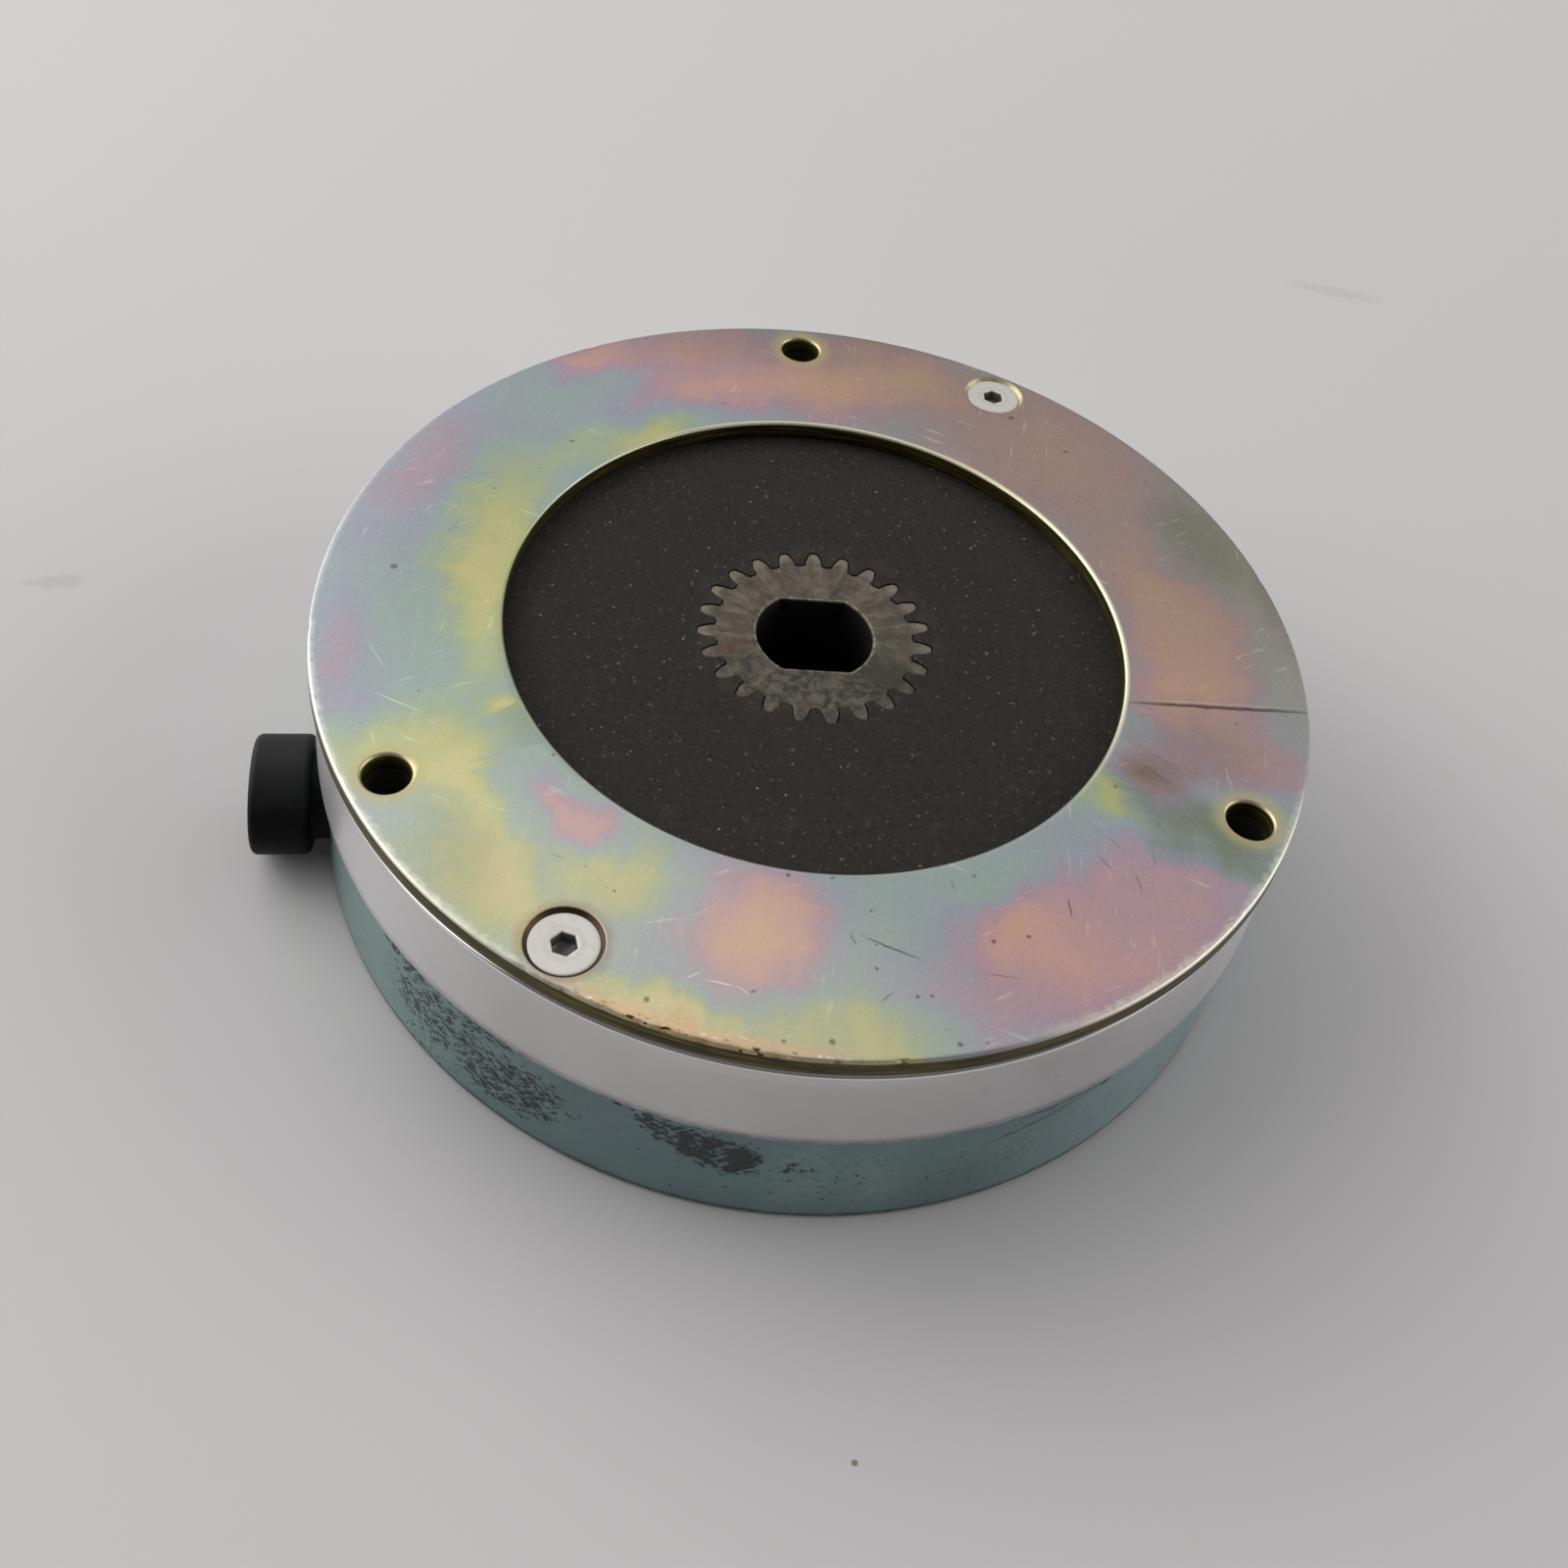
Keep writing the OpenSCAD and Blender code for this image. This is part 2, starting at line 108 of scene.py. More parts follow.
class Field:
    """A value or vector that varies over a surface: a socket whose arithmetic adds nodes to its finish."""

    def __init__(self, finish, socket):
        self.finish = finish
        self.socket = socket
        self.is_vector = socket.type in ("VECTOR", "RGBA")

    def _join(self, operation, first, second):
        """Adds a Math node, or a Vector Math node if this field is a vector."""
        if self.is_vector:
            first, second = (
                (v, v, v) if isinstance(v, (int, float)) else v for v in (first, second)
            )
            return self.finish.node("ShaderNodeVectorMath", {"operation": operation}, {0: first, 1: second})
        return self.finish.node("ShaderNodeMath", {"operation": operation}, {0: first, 1: second})

    def __add__(self, other):
        return self._join("ADD", self, other)

    def __radd__(self, other):
        return self._join("ADD", other, self)

    def __sub__(self, other):
        return self._join("SUBTRACT", self, other)

    def __rsub__(self, other):
        return self._join("SUBTRACT", other, self)

    def __mul__(self, other):
        return self._join("MULTIPLY", self, other)

    def __rmul__(self, other):
        return self._join("MULTIPLY", other, self)

    def __truediv__(self, other):
        return self._join("DIVIDE", self, other)

    def most(self, other):
        """The larger of two fields."""
        return self._join("MAXIMUM", self, other)

    def rise(self, low, high):
        """Smooth step from 0 at low to 1 at high; it falls where low is above high."""
        down = low > high
        settings = {"interpolation_type": "SMOOTHSTEP"}
        ends = {0: self, 1: min(low, high), 2: max(low, high), 3: float(down), 4: float(not down)}
        return self.finish.node("ShaderNodeMapRange", settings, ends)

    def along(self, direction):
        """Part of a vector along a direction."""
        settings = {"operation": "DOT_PRODUCT"}
        return self.finish.node("ShaderNodeVectorMath", settings, {0: self, 1: direction}, out="Value")

    def length(self):
        """Length of a vector."""
        return self.finish.node("ShaderNodeVectorMath", {"operation": "LENGTH"}, {0: self}, out="Value")

    def axes(self):
        """The three parts of a vector."""
        node = self.finish.add("ShaderNodeSeparateXYZ", {}, {0: self})
        return [Field(self.finish, node.outputs[i]) for i in range(3)]


def most_of(fields):
    """The largest of several fields."""
    return reduce(Field.most, fields)


class Finish:
    """One material, or the studio's light, built from nodes."""

    def __init__(self, name, studio=False):
        self.material = bpy.data.worlds.new(name) if studio else bpy.data.materials.new(name)
        self.material.use_nodes = True
        self.tree = self.material.node_tree
        self.tree.nodes.clear()
        self.output = self.tree.nodes.new("ShaderNodeOutputWorld" if studio else "ShaderNodeOutputMaterial")

    def add(self, kind, settings, sockets):
        """Adds a node: first its settings, a ramp's stops among them, then its values and links."""
        node = self.tree.nodes.new(kind)
        for key, value in settings.items():
            if key == "stops":
                ramp = node.color_ramp
                while len(ramp.elements) < len(value):
                    ramp.elements.new(0.5)
                for i, (place, colour) in enumerate(value):
                    ramp.elements[i].position = place
                    ramp.elements[i].color = colour
            else:
                setattr(node, key, value)
        for key, value in sockets.items():
            if isinstance(value, Field):
                self.tree.links.new(value.socket, node.inputs[key])
            else:
                node.inputs[key].default_value = value
        return node

    def node(self, kind, settings=None, sockets=None, out=0):
        """Adds a node and returns one of its outputs as a field."""
        return Field(self, self.add(kind, settings or {}, sockets or {}).outputs[out])

    def place(self):
        """The object's own coordinates in millimetres."""
        metres = self.node("ShaderNodeTexCoord", out="Object")
        return metres * 1000.0

    def noise(self, at, scale, detail=2.0, rough=0.5, distortion=0.0, colour=False):
        """Noise of about 0 to 1; scale is in waves per millimetre of its vector."""
        sockets = {"Vector": at, "Scale": scale, "Detail": detail, "Roughness": rough}
        sockets["Distortion"] = distortion
        return self.node("ShaderNodeTexNoise", {}, sockets, out="Color" if colour else 0)

    def cells(self, at, scale, out="Distance"):
        """Distance to the nearest of scattered points, in the units of its scaled vector."""
        return self.node("ShaderNodeTexVoronoi", {}, {"Vector": at, "Scale": scale}, out=out)

    def mapped(self, at, location=(0, 0, 0), turn=0.0, scale=(1, 1, 1)):
        """Coordinates about a place, turned by some degrees about Z and divided by a size."""
        sockets = {0: at, 1: location, 2: (0.0, 0.0, math.radians(turn)), 3: scale}
        return self.node("ShaderNodeMapping", {"vector_type": "TEXTURE"}, sockets)

    def squeezed(self, at, scale):
        """Coordinates multiplied by a factor for each axis."""
        return self.node("ShaderNodeVectorMath", {"operation": "MULTIPLY"}, {0: at, 1: scale})

    def reach(self, at):
        """Distance from the brake's axis."""
        return self.squeezed(at, (1.0, 1.0, 0.0)).length()

    def from_bolt(self, at, angle):
        """Distance from the axis of the hole at an angle on the bolt circle."""
        return self.mapped(at, polar(angle, BOLT_R, PLATE_TOP), 0, (1, 1, 1000)).length()

    def spots(self, at, rows, height, start, full):
        """The most of elliptical spots (x, y, half length, half width, turn, amount) at a height, each of
        which starts and is full at two shares of its half lengths."""
        return most_of(
            self.mapped(at, (x, y, height), turn, (half, width, 40.0)).length().rise(start, full) * amount
            for x, y, half, width, turn, amount in rows
        )

    def blend(self, share, first, second):
        """Number that goes from first to second as share goes from 0 to 1."""
        return self.node("ShaderNodeMix", {"data_type": "FLOAT"}, {0: share, 2: first, 3: second})

    def tint(self, share, first, second, mode="MIX"):
        """Colour that goes from first to second as share goes from 0 to 1."""
        settings = {"data_type": "RGBA", "blend_type": mode}
        return self.node("ShaderNodeMix", settings, {0: share, 6: first, 7: second}, out=2)

    def ramp(self, share, *stops):
        """Colour along stops of (place, colour)."""
        return self.node("ShaderNodeValToRGB", {"stops": stops}, {0: share})

    def bump(self, height, distance, strength=1.0, normal=None):
        """Normal of a surface raised by a height field times a distance in metres."""
        sockets = {"Height": height, "Distance": distance, "Strength": strength}
        if normal is not None:
            sockets["Normal"] = normal
        return self.node("ShaderNodeBump", {}, sockets)

    def surface(self, **sockets):
        """Ends the finish in a Principled shader; an underscore in a name stands for a space."""
        named = {key.replace("_", " "): value for key, value in sockets.items()}
        shader = self.add("ShaderNodeBsdfPrincipled", {}, named)
        self.tree.links.new(shader.outputs[0], self.output.inputs["Surface"])
        return self.material


# The film on the plate: place in degrees and millimetres, half lengths along and across the ring,
# turn in degrees, and the film's order of colour from straw (0) over pink and blue to green and yellow (1)
FILM_PATCHES = (
    (10, 45, 14, 7, 0, 0.17),
    (20, 54, 10, 5, 0, 0.64),
    (45, 48, 16, 14, 0, 0.26),
    (17, 50, 4, 3, 0, 0.47),
    (72, 51, 9, 6, 0, 0.14),
    (82, 56, 7, 4, 0, 0.26),
    (86, 46, 11, 7, 0, 0.14),
    (105, 54, 11, 6, 0, 0.24),
    (107, 44, 12, 5, 0, 0.20),
    (121, 56, 7, 4, 0, 0.24),
    (122, 40, 9, 4, 0, 0.80),
    (123, 44, 5, 2.5, 0, 0.42),
    (137, 47, 9, 5, 0, 0.52),
    (136, 41.5, 8, 3, 0, 0.68),
    (156, 53.5, 17, 6, 0, 0.40),
    (172, 47, 9, 4.5, 0, 0.50),
    (155, 44, 8, 4, 0, 0.62),
    (175, 40, 20, 5, 0, 0.84),
    (191, 55, 13, 5, 0, 0.42),
    (190, 47, 11, 5, 0, 0.57),
    (206, 52, 4, 9, 0, 0.75),
    (216, 47, 7, 5, 0, 0.88),
    (225, 54, 10, 6, 0, 0.68),
    (232, 50, 9, 7, 0, 0.90),
    (230, 41, 7, 3, 0, 0.27),
    (221, 44, 13, 2.6, -16, 0.57),
    (252, 51.5, 12, 3, -16, 0.57),
    (208, 40, 3, 2, 0, 0.85),
    (243, 44.5, 4.5, 4, 0, 0.82),
    (259, 45, 9, 9, 0, 0.28),
    (260, 45, 5.0, 5.5, 0, 0.13),
    (255, 57.5, 11, 2.4, 0, 0.93),
    (268, 56.5, 5, 3.4, 0, 0.76),
    (275, 56, 6.0, 5, 0, 0.80),
    (275.3, 56.3, 3.4, 4.2, 0, 1.02),
    (278, 47, 6, 8, 0, 0.57),
    (302, 51.5, 22, 10, 0, 0.27),
    (293, 47, 8, 4, -35, 0.20),
    (311, 50, 9, 4, 0, 0.33),
    (294, 40.5, 11, 3.2, 0, 0.58),
    (324, 50, 3.4, 12, 0, 0.63),
    (322, 40, 4, 3.5, 0, 0.80),
    (331, 43, 5, 5, 0, 0.24),
    (340, 52, 7, 7, 0, 0.30),
    (352, 45, 9, 6, 0, 0.17),
)
# Dull places on the plate: place, half lengths along and across the ring, and how dull each is
DULL_PATCHES = (
    (20, 54.5, 11, 5, 0.45),
    (331, 43, 4.5, 5, 0.8),
    (324, 51, 3.6, 10, 0.6),
    (325, 43, 2.2, 5, 0.45),
    (338, 47, 7, 9, 0.3),
    (225, 54, 9, 5, 0.2),
    (15, 59, 26, 4, 0.35),
    (95, 56, 30, 7, 0.30),
    (165, 46, 30, 9, 0.14),
)
# Scratches in the plate's top: middle x and y, half length and half width in millimetres, turn in
# degrees, and how dark each is
SCRATCHES = (
    (47.1, -10.5, 12.0, 0.30, 0, 1.0),
    (5.4, -46.0, 3.4, 0.12, -23, 0.9),
    (16.3, -48.7, 1.9, 0.09, -8, 0.5),
    (1.6, -45.2, 0.8, 0.12, -73, 0.6),
    (4.5, -51.7, 1.0, 0.10, 41, 0.6),
    (24.6, -40.1, 1.3, 0.11, -89, 0.8),
    (12.5, -38.0, 0.8, 0.09, -72, 0.5),
    (32.6, -36.5, 1.4, 0.10, -83, 0.55),
    (29.4, -34.1, 1.4, 0.09, -59, 0.6),
    (34.9, -33.1, 1.1, 0.09, -89, 0.5),
    (31.0, -31.5, 1.5, 0.08, -50, 0.45),
    (36.5, -29.0, 1.2, 0.08, -60, 0.4),
    (37.4, -21.3, 2.2, 0.10, -42, 0.6),
    (-44.3, 11.9, 1.6, 0.10, 63, 0.4),
    (-14.8, 34.8, 1.7, 0.09, -40, 0.3),
    (41.6, -40.8, 0.8, 0.12, 26, 0.7),
    (-28.6, -36.7, 0.8, 0.10, -23, 0.3),
    (-41.5, 22.3, 3.0, 0.07, 20, 0.3),
)
PALE_SCRATCHES = (
    (-47.2, -17.0, 3.3, 0.10, -24, 0.6),
    (-11.8, -50.9, 1.4, 0.12, -12, 0.8),
    (-14.5, -50.2, 1.1, 0.10, 30, 0.6),
    (-9.6, -51.6, 0.9, 0.10, -40, 0.6),
    (-50.5, -10.0, 2.6, 0.08, -60, 0.45),
    (-49.0, -22.5, 1.8, 0.08, -70, 0.5),
    (-35.0, -31.0, 2.2, 0.07, -15, 0.4),
    (-17.5, -44.0, 2.4, 0.08, 12, 0.5),
    (47.1, -9.9, 10.5, 0.10, 0, 0.3),
)
# Small dark dents: x, y and radius in millimetres
DENTS = (
    (-1.1, -56.9, 0.35),
    (11.3, -56.6, 0.3),
    (-18.9, -53.1, 0.32),
    (-24.1, -53.3, 0.22),
    (7.6, -51.5, 0.22),
    (9.0, -51.4, 0.22),
    (-4.7, -37.7, 0.25),
    (-5.8, -57.0, 0.25),
    (16.0, -44.7, 0.3),
    (19.7, -43.9, 0.25),
    (3.8, -48.5, 0.2),
    (-50.4, 4.3, 0.45),
    (29.0, 42.0, 0.4),
)
# Arcs of the rim with a painted highlight: angle, cosines where each starts and is full, radius, amount
RIM_HIGHLIGHT_ARCS = (
    (214, 0.84, 0.95, 59.0, 0.8),
    (313, 0.88, 0.97, 58.9, 0.75),
    (170, 0.88, 0.96, 59.2, 0.3),
)
# Colour of the painted highlight on the rim
RIM_HIGHLIGHT_COLOUR = linear(230, 228, 210)


def smooth(value, low, high):
    """Smooth step of an array from 0 at low to 1 at high: t * t * (3 - 2 t)."""
    t = np.clip((value - low) / (high - low), 0, 1)
    return t * t * (3 - 2 * t)


def swirled(x, y):
    """Points moved about by sums of sine waves across each other, so that patches get wandering edges."""
    move_x, move_y = np.zeros_like(x), np.zeros_like(y)
    for wave, size in ((0.16, 1.0), (0.37, 0.9), (0.83, 0.7), (1.7, 0.4), (3.1, 0.22)):
        cross_x = np.sin(wave * (0.9 * y - 0.5 * x))
        cross_y = np.cos(wave * (x + 0.4 * y) + 1)
        move_x = move_x + size * np.sin(wave * (0.8 * x + 0.6 * y) + 1.7 / wave) * cross_x
        move_y = move_y + size * np.sin(wave * (0.7 * y - 0.9 * x) + 2.3 / wave) * cross_y
    return x + move_x, y + move_y


def patch_share(x, y, angle, radius, along, across, turn, reach):
    """Share of an elliptical patch lying along the ring: 1 at its middle, 0 beyond reach half lengths."""
    lean = math.radians(angle + 90 + turn)
    away_x, away_y = x - polar(angle, radius)[0], y - polar(angle, radius)[1]
    u = (away_x * math.cos(lean) + away_y * math.sin(lean)) / along
    v = (away_y * math.cos(lean) - away_x * math.sin(lean)) / across
    return 1 - smooth(np.hypot(u, v), 0.12, reach)


def film_order(x, y):
    """Order of the film's colour over the plate: 0.56 with slow waves, drawn to each patch's own order."""
    order = 0.56 + 0.05 * np.sin(0.09 * x + 0.5) * np.sin(0.11 * y + 1.2)
    x, y = swirled(x, y)
    for angle, radius, along, across, turn, patch_order in FILM_PATCHES:
        share = patch_share(x, y, angle, radius, along, across, turn, 1.7)
        order = order + (patch_order - order) * share
    return order


def dullness(x, y):
    """How brown and dull the plate is: the most of its dull patches."""
    x, y = swirled(x, y)
    shares = [patch_share(x, y, *row[:4], 0, 1.5) * row[4] for row in DULL_PATCHES]
    return np.max(shares, 0)


def zinc_film():
    """Yellow chromated zinc: a thin film whose colour runs through the orders as its thickness wanders."""
    m = Finish("yellow_zinc_film")
    place = m.place()
    z = place.axes()[2]
    reach = m.reach(place)
    film = m.node("ShaderNodeAttribute", {"attribute_name": "film_order"}, out="Fac")
    film = film + (m.noise(place, 0.35, detail=5, rough=0.65) - 0.5) * 0.12
    film = film + (m.noise(place, 1.6, detail=4, rough=0.7) - 0.5) * 0.06
    colour = m.ramp(
        film,
        (0.00, linear(206, 174, 128)),
        (0.12, linear(208, 171, 142)),
        (0.24, linear(200, 160, 153)),
        (0.36, linear(180, 152, 164)),
        (0.48, linear(158, 164, 174)),
        (0.58, linear(156, 173, 167)),
        (0.68, linear(165, 178, 149)),
        (0.78, linear(186, 188, 133)),
        (0.90, linear(208, 195, 141)),
        (1.00, linear(196, 152, 70)),
    )
    # Painted dark reflection makes the right and far side browner and duller, and painted light makes the
    # front left milky and brighter
    painted_dark_reflection = m.mapped(place, polar(35, 60, PLATE_TOP), 125, (75, 48, 80)).length().rise(1.2, 0.35)
    colour = m.tint(painted_dark_reflection * 0.6, colour, linear(152, 133, 114))
    painted_front_light = m.mapped(place, polar(246, 50, PLATE_TOP), -28, (44, 15, 80)).length().rise(1.3, 0.4)
    colour = m.tint(painted_front_light * 0.20, colour, linear(236, 226, 206))
    dull = m.node("ShaderNodeAttribute", {"attribute_name": "dullness"}, out="Fac")
    colour = m.tint(dull, colour, linear(98, 98, 82))
    grain = m.noise(place, 1.3, detail=4, rough=0.65)
    # Fine mottling, then scuffs in three directions where they gather
    pale = m.noise(place, 2.6, detail=3, rough=0.7).rise(0.52, 0.72)
    colour = m.tint(pale * 0.13, colour, linear(232, 228, 214))
    dark = m.noise(place, 2.1, detail=3, rough=0.7).rise(0.46, 0.28)
    colour = m.tint(dark * 0.15, colour, linear(108, 102, 90))
    scuffs = []
    for i, (turn, scale) in enumerate(((28, 1.5), (-24, 1.2), (81, 1.8))):
        stroke_place = m.squeezed(m.mapped(place, (i * 37.0, 11.0, 0), turn), (0.16, 1.0, 1.0))
        gather = m.noise(place + (i * 50.0), 0.11, detail=2).rise(0.48, 0.66)
        scuffs.append(m.noise(stroke_place, scale, detail=2, rough=0.5).rise(0.63, 0.74) * gather)
    colour = m.tint(most_of(scuffs) * 0.24, colour, linear(236, 232, 216))
    wander = place + (m.noise(place, 0.7, detail=2, colour=True) - 0.5) * 0.35
    dents = [(dent_x, dent_y, radius, radius, 0, 0.75) for dent_x, dent_y, radius in DENTS]
    cut = m.spots(wander, SCRATCHES, PLATE_TOP, 1.25, 0.5)
    cut = cut.most(m.spots(wander, dents, PLATE_TOP, 1.3, 0.6))
    colour = m.tint(cut * 0.8, colour, linear(62, 54, 44))
    bright_cut = m.spots(wander, PALE_SCRATCHES, PLATE_TOP, 1.25, 0.5)
    colour = m.tint(bright_cut * 0.8, colour, linear(238, 232, 212))
    pits = m.noise(place, 0.75, detail=1).rise(0.79, 0.82)
    colour = m.tint(pits * 0.6, colour, linear(96, 90, 70))
    # A painted highlight lies on the rim, in patches, on the left and on the right in front
    ragged = m.noise(place, 0.8, detail=4, rough=0.7)
    rubbed = []
    for angle, wide, narrow, start, amount in RIM_HIGHLIGHT_ARCS:
        facing = (place.along(polar(angle, 1.0)) / reach).rise(wide, narrow)
        rubbed.append(facing * (reach + ragged * 2.2).rise(start, start + 1.1) * amount)
    colour = m.tint(most_of(rubbed) * 0.85, colour, RIM_HIGHLIGHT_COLOUR)
    # In front the edge is chipped: peach, pale strokes and dark nicks
    front = (place.along(polar(256, 1.0)) / reach).rise(0.955, 0.985)
    colour = m.tint(front * (reach + ragged * 2.0).rise(57.6, 59.2) * 0.5, colour, linear(226, 182, 150))
    nicks = m.noise(m.squeezed(m.mapped(place, turn=-18), (0.5, 1.2, 1.0)), 1.5, detail=2)
    colour = m.tint(front * reach.rise(57.0, 58.4) * nicks.rise(0.62, 0.68), colour, linear(242, 226, 214))
    colour = m.tint(front * reach.rise(57.9, 58.7) * nicks.rise(0.42, 0.36), colour, linear(92, 62, 36))
    rough = 0.36 + (m.noise(place, 0.5, detail=3) - 0.5) * 0.15 + grain * 0.06
    # Round the mounting holes: a yellow and peach halo, and a painted highlight on the broken edge
    for angle in HOLE_ANGLES:
        away = m.from_bolt(place, angle) + (ragged - 0.5) * 0.8
        colour = m.tint(away.rise(5.0, 3.2) * 0.5, colour, linear(190, 182, 124))
        colour = m.tint(away.rise(3.7, 3.1) * 0.3, colour, linear(204, 166, 132))
        edge = away.rise(3.0, 2.9)
        colour = m.tint(edge * 0.6, colour, linear(190, 182, 140))
        rough = m.blend(edge, rough, 0.38)
    # Countersinks: dark and rusty in front, paler behind, with a stain round the front one
    back_sink, front_sink = (m.from_bolt(place, angle) for angle in SCREW_ANGLES)
    colour = m.tint((front_sink + ragged * 1.6).rise(6.2, 5.0) * 0.4, colour, linear(150, 112, 92))
    sunk = z.rise(PLATE_TOP - 0.015, PLATE_TOP - 0.06)
    front_wall = sunk * front_sink.rise(4.3, 4.22)
    colour = m.tint(front_wall, colour, m.tint(ragged, linear(28, 22, 14), linear(84, 64, 44)))
    back_wall = sunk * back_sink.rise(4.3, 4.22)
    colour = m.tint(back_wall, colour, m.tint(ragged, linear(122, 112, 76), linear(214, 208, 168)))
    # A painted highlight lies along the window's rim on the far side, and both side walls are dark with thin
    # layers
    far = (place.along(polar(45, 1.0)) / reach).rise(-0.1, 0.6)
    window_highlight = reach.rise(WINDOW_R + 0.65, WINDOW_R + 0.4) * z.rise(PLATE_TOP - 0.32, PLATE_TOP - 0.22)
    colour = m.tint(window_highlight * (far * 0.75 + 0.15), colour, linear(226, 222, 190))
    layers = m.noise(m.squeezed(place, (0.10, 0.10, 4.0)), 1.0, detail=4, rough=0.75)
    side_colour = m.ramp(
        layers,
        (0.34, linear(26, 23, 12)),
        (0.47, linear(64, 58, 28)),
        (0.60, linear(108, 100, 50)),
        (0.72, linear(150, 140, 78)),
    )
    side = z.rise(PLATE_TOP - 0.26, PLATE_TOP - 0.42) * m.blend(front_wall.most(back_wall), 1.0, 0.0)
    colour = m.tint(side, colour, side_colour)
    rough = m.blend(side, rough, 0.42)
    return m.surface(
        Base_Color=colour,
        Metallic=0.75,
        Roughness=rough,
        Normal=m.bump(grain * 0.5 + layers * 0.6, 0.00003, 0.6),
    )


# Wear on the body's side: place in degrees and height, half lengths along and up in millimetres,
# turn in degrees and amount
BODY_WEAR = (
    (236.5, 7.5, 9.5, 5.6, 20, 0.90),
    (226, 9.5, 10.0, 6.5, 10, 0.78),
    (221, 13.6, 6.0, 1.3, 0, 0.85),
    (233, 14.0, 6.0, 1.2, 0, 0.8),
    (224, 2.5, 7.0, 2.0, 0, 0.5),
    (254, 12.6, 4.4, 2.4, -30, 0.98),
    (258.5, 11.2, 5.0, 3.6, -25, 1.2),
    (261.8, 10.2, 3.4, 3.8, -25, 1.25),
    (249.2, 14.8, 0.8, 0.8, 0, 1.6),
    (268, 9.8, 2.6, 2.0, 0, 0.62),
    (272, 7.0, 12.0, 7.0, 0, 0.30),
    (283, 15.0, 1.8, 0.5, 0, 0.9),
    (290, 8.0, 11.0, 6.0, 0, 0.28),
)
# Thin dark scratches on the body's side: place, half length, half width, turn and amount
BODY_SCRATCHES = (
    (294.5, 12.2, 7.4, 0.28, 10, 0.6),
    (297, 13.9, 6.8, 0.25, -3, 0.7),
    (302.5, 13.4, 0.8, 0.5, 0, 0.9),
)


def worn_zinc():
    """Blue-grey plating of the magnet body, rubbed through to black in streaky patches, with painted light on
    its left and right sides, a painted shadow under the band and painted shade in the bore.
    The side is unrolled: its first coordinate is the angle from the front times the radius."""
    m = Finish("worn_blue_zinc")
    place = m.place()
    x, y, z = place.axes()
    front_angle = m.node("ShaderNodeMath", {"operation": "ARCTAN2"}, {0: x, 1: y * -1.0})
    side = m.node("ShaderNodeCombineXYZ", {}, {0: front_angle * BODY_R, 1: z, 2: 0.0})

    def unrolled(rows):
        """Rows whose angle in degrees is turned into millimetres round the side from the front."""
        return [(math.radians(row[0] - 270) * BODY_R, *row[1:]) for row in rows]

    cloud = m.noise(place, 0.06, detail=3)
    colour = m.ramp(
        cloud,
        (0.30, linear(108, 130, 132)),
        (0.55, linear(118, 144, 145)),
        (0.75, linear(134, 160, 158)),
    )
    reach = m.reach(place)
    # Painted light: the left side and the right side, which face the side windows, are paler
    paler = (place.along(polar(165, 1.0)) / reach).rise(0.32, 0.66)
    colour = m.tint(paler * 0.55, colour, linear(150, 182, 172))
    right = (place.along(polar(15, 1.0)) / reach).rise(-0.02, 0.44)
    colour = m.tint(right * 0.6, colour, linear(166, 190, 196))
    blotch = m.noise(place, 0.3, detail=4, rough=0.6)
    colour = m.tint(blotch.rise(0.5, 0.75) * 0.25, colour, linear(96, 112, 112))
    wear = m.spots(side, unrolled(BODY_WEAR), 0.0, 1.25, 0.45)
    streaks = m.noise(m.squeezed(m.mapped(side, turn=-30), (0.55, 1.2, 1.0)), 1.35, detail=4, rough=0.75)
    rubbed = m.noise(m.squeezed(m.mapped(side, turn=38), (0.25, 1.5, 1.0)), 1.5, detail=3, rough=0.6)
    worn = (streaks + wear * 0.235 - rubbed.rise(0.46, 0.66) * 0.16).rise(0.64, 0.68)
    wander = m.squeezed(side + (m.noise(side, 0.5, detail=3, colour=True) - 0.5), (1.0, 1.0, 40.0))
    cut = m.spots(wander, unrolled(BODY_SCRATCHES), 0.0, 1.3, 0.5)
    pits = m.noise(side, 0.95, detail=2).rise(0.71, 0.735)
    # A thin painted shadow just under the band's lower edge, broken by noise, is darkened like the wear
    painted_band_shadow = z.rise(BAND_FOOT - 0.5, BAND_FOOT - 0.1) * m.noise(side, 0.9, detail=3).rise(0.52, 0.62)
    worn = worn.most(pits * 0.8).most(cut).most(painted_band_shadow * 0.8)
    colour = m.tint(worn * 0.92, colour, m.tint(rubbed, linear(14, 15, 16), linear(44, 47, 47)))
    # The lower edge is brown and dark
    foot = (z + m.noise(side, 0.5, detail=3) * 0.8).rise(1.7, 0.9)
    colour = m.tint(foot * 0.75, colour, linear(36, 30, 22))
    # Painted shade makes the bore near black
    bore = reach.rise(BODY_BORE_R + 0.6, BODY_BORE_R + 0.3)
    colour = m.tint(bore, colour, m.tint(blotch, linear(6, 6, 6), linear(18, 17, 16)))
    return m.surface(
        Base_Color=colour,
        Metallic=m.blend(worn, 0.6, 0.0),
        Roughness=m.blend(worn, 0.34, 0.6) + (blotch - 0.5) * 0.1,
        Normal=m.bump(m.noise(place, 2.0, detail=3) * 0.3 - worn, 0.00003, 0.5),
    )


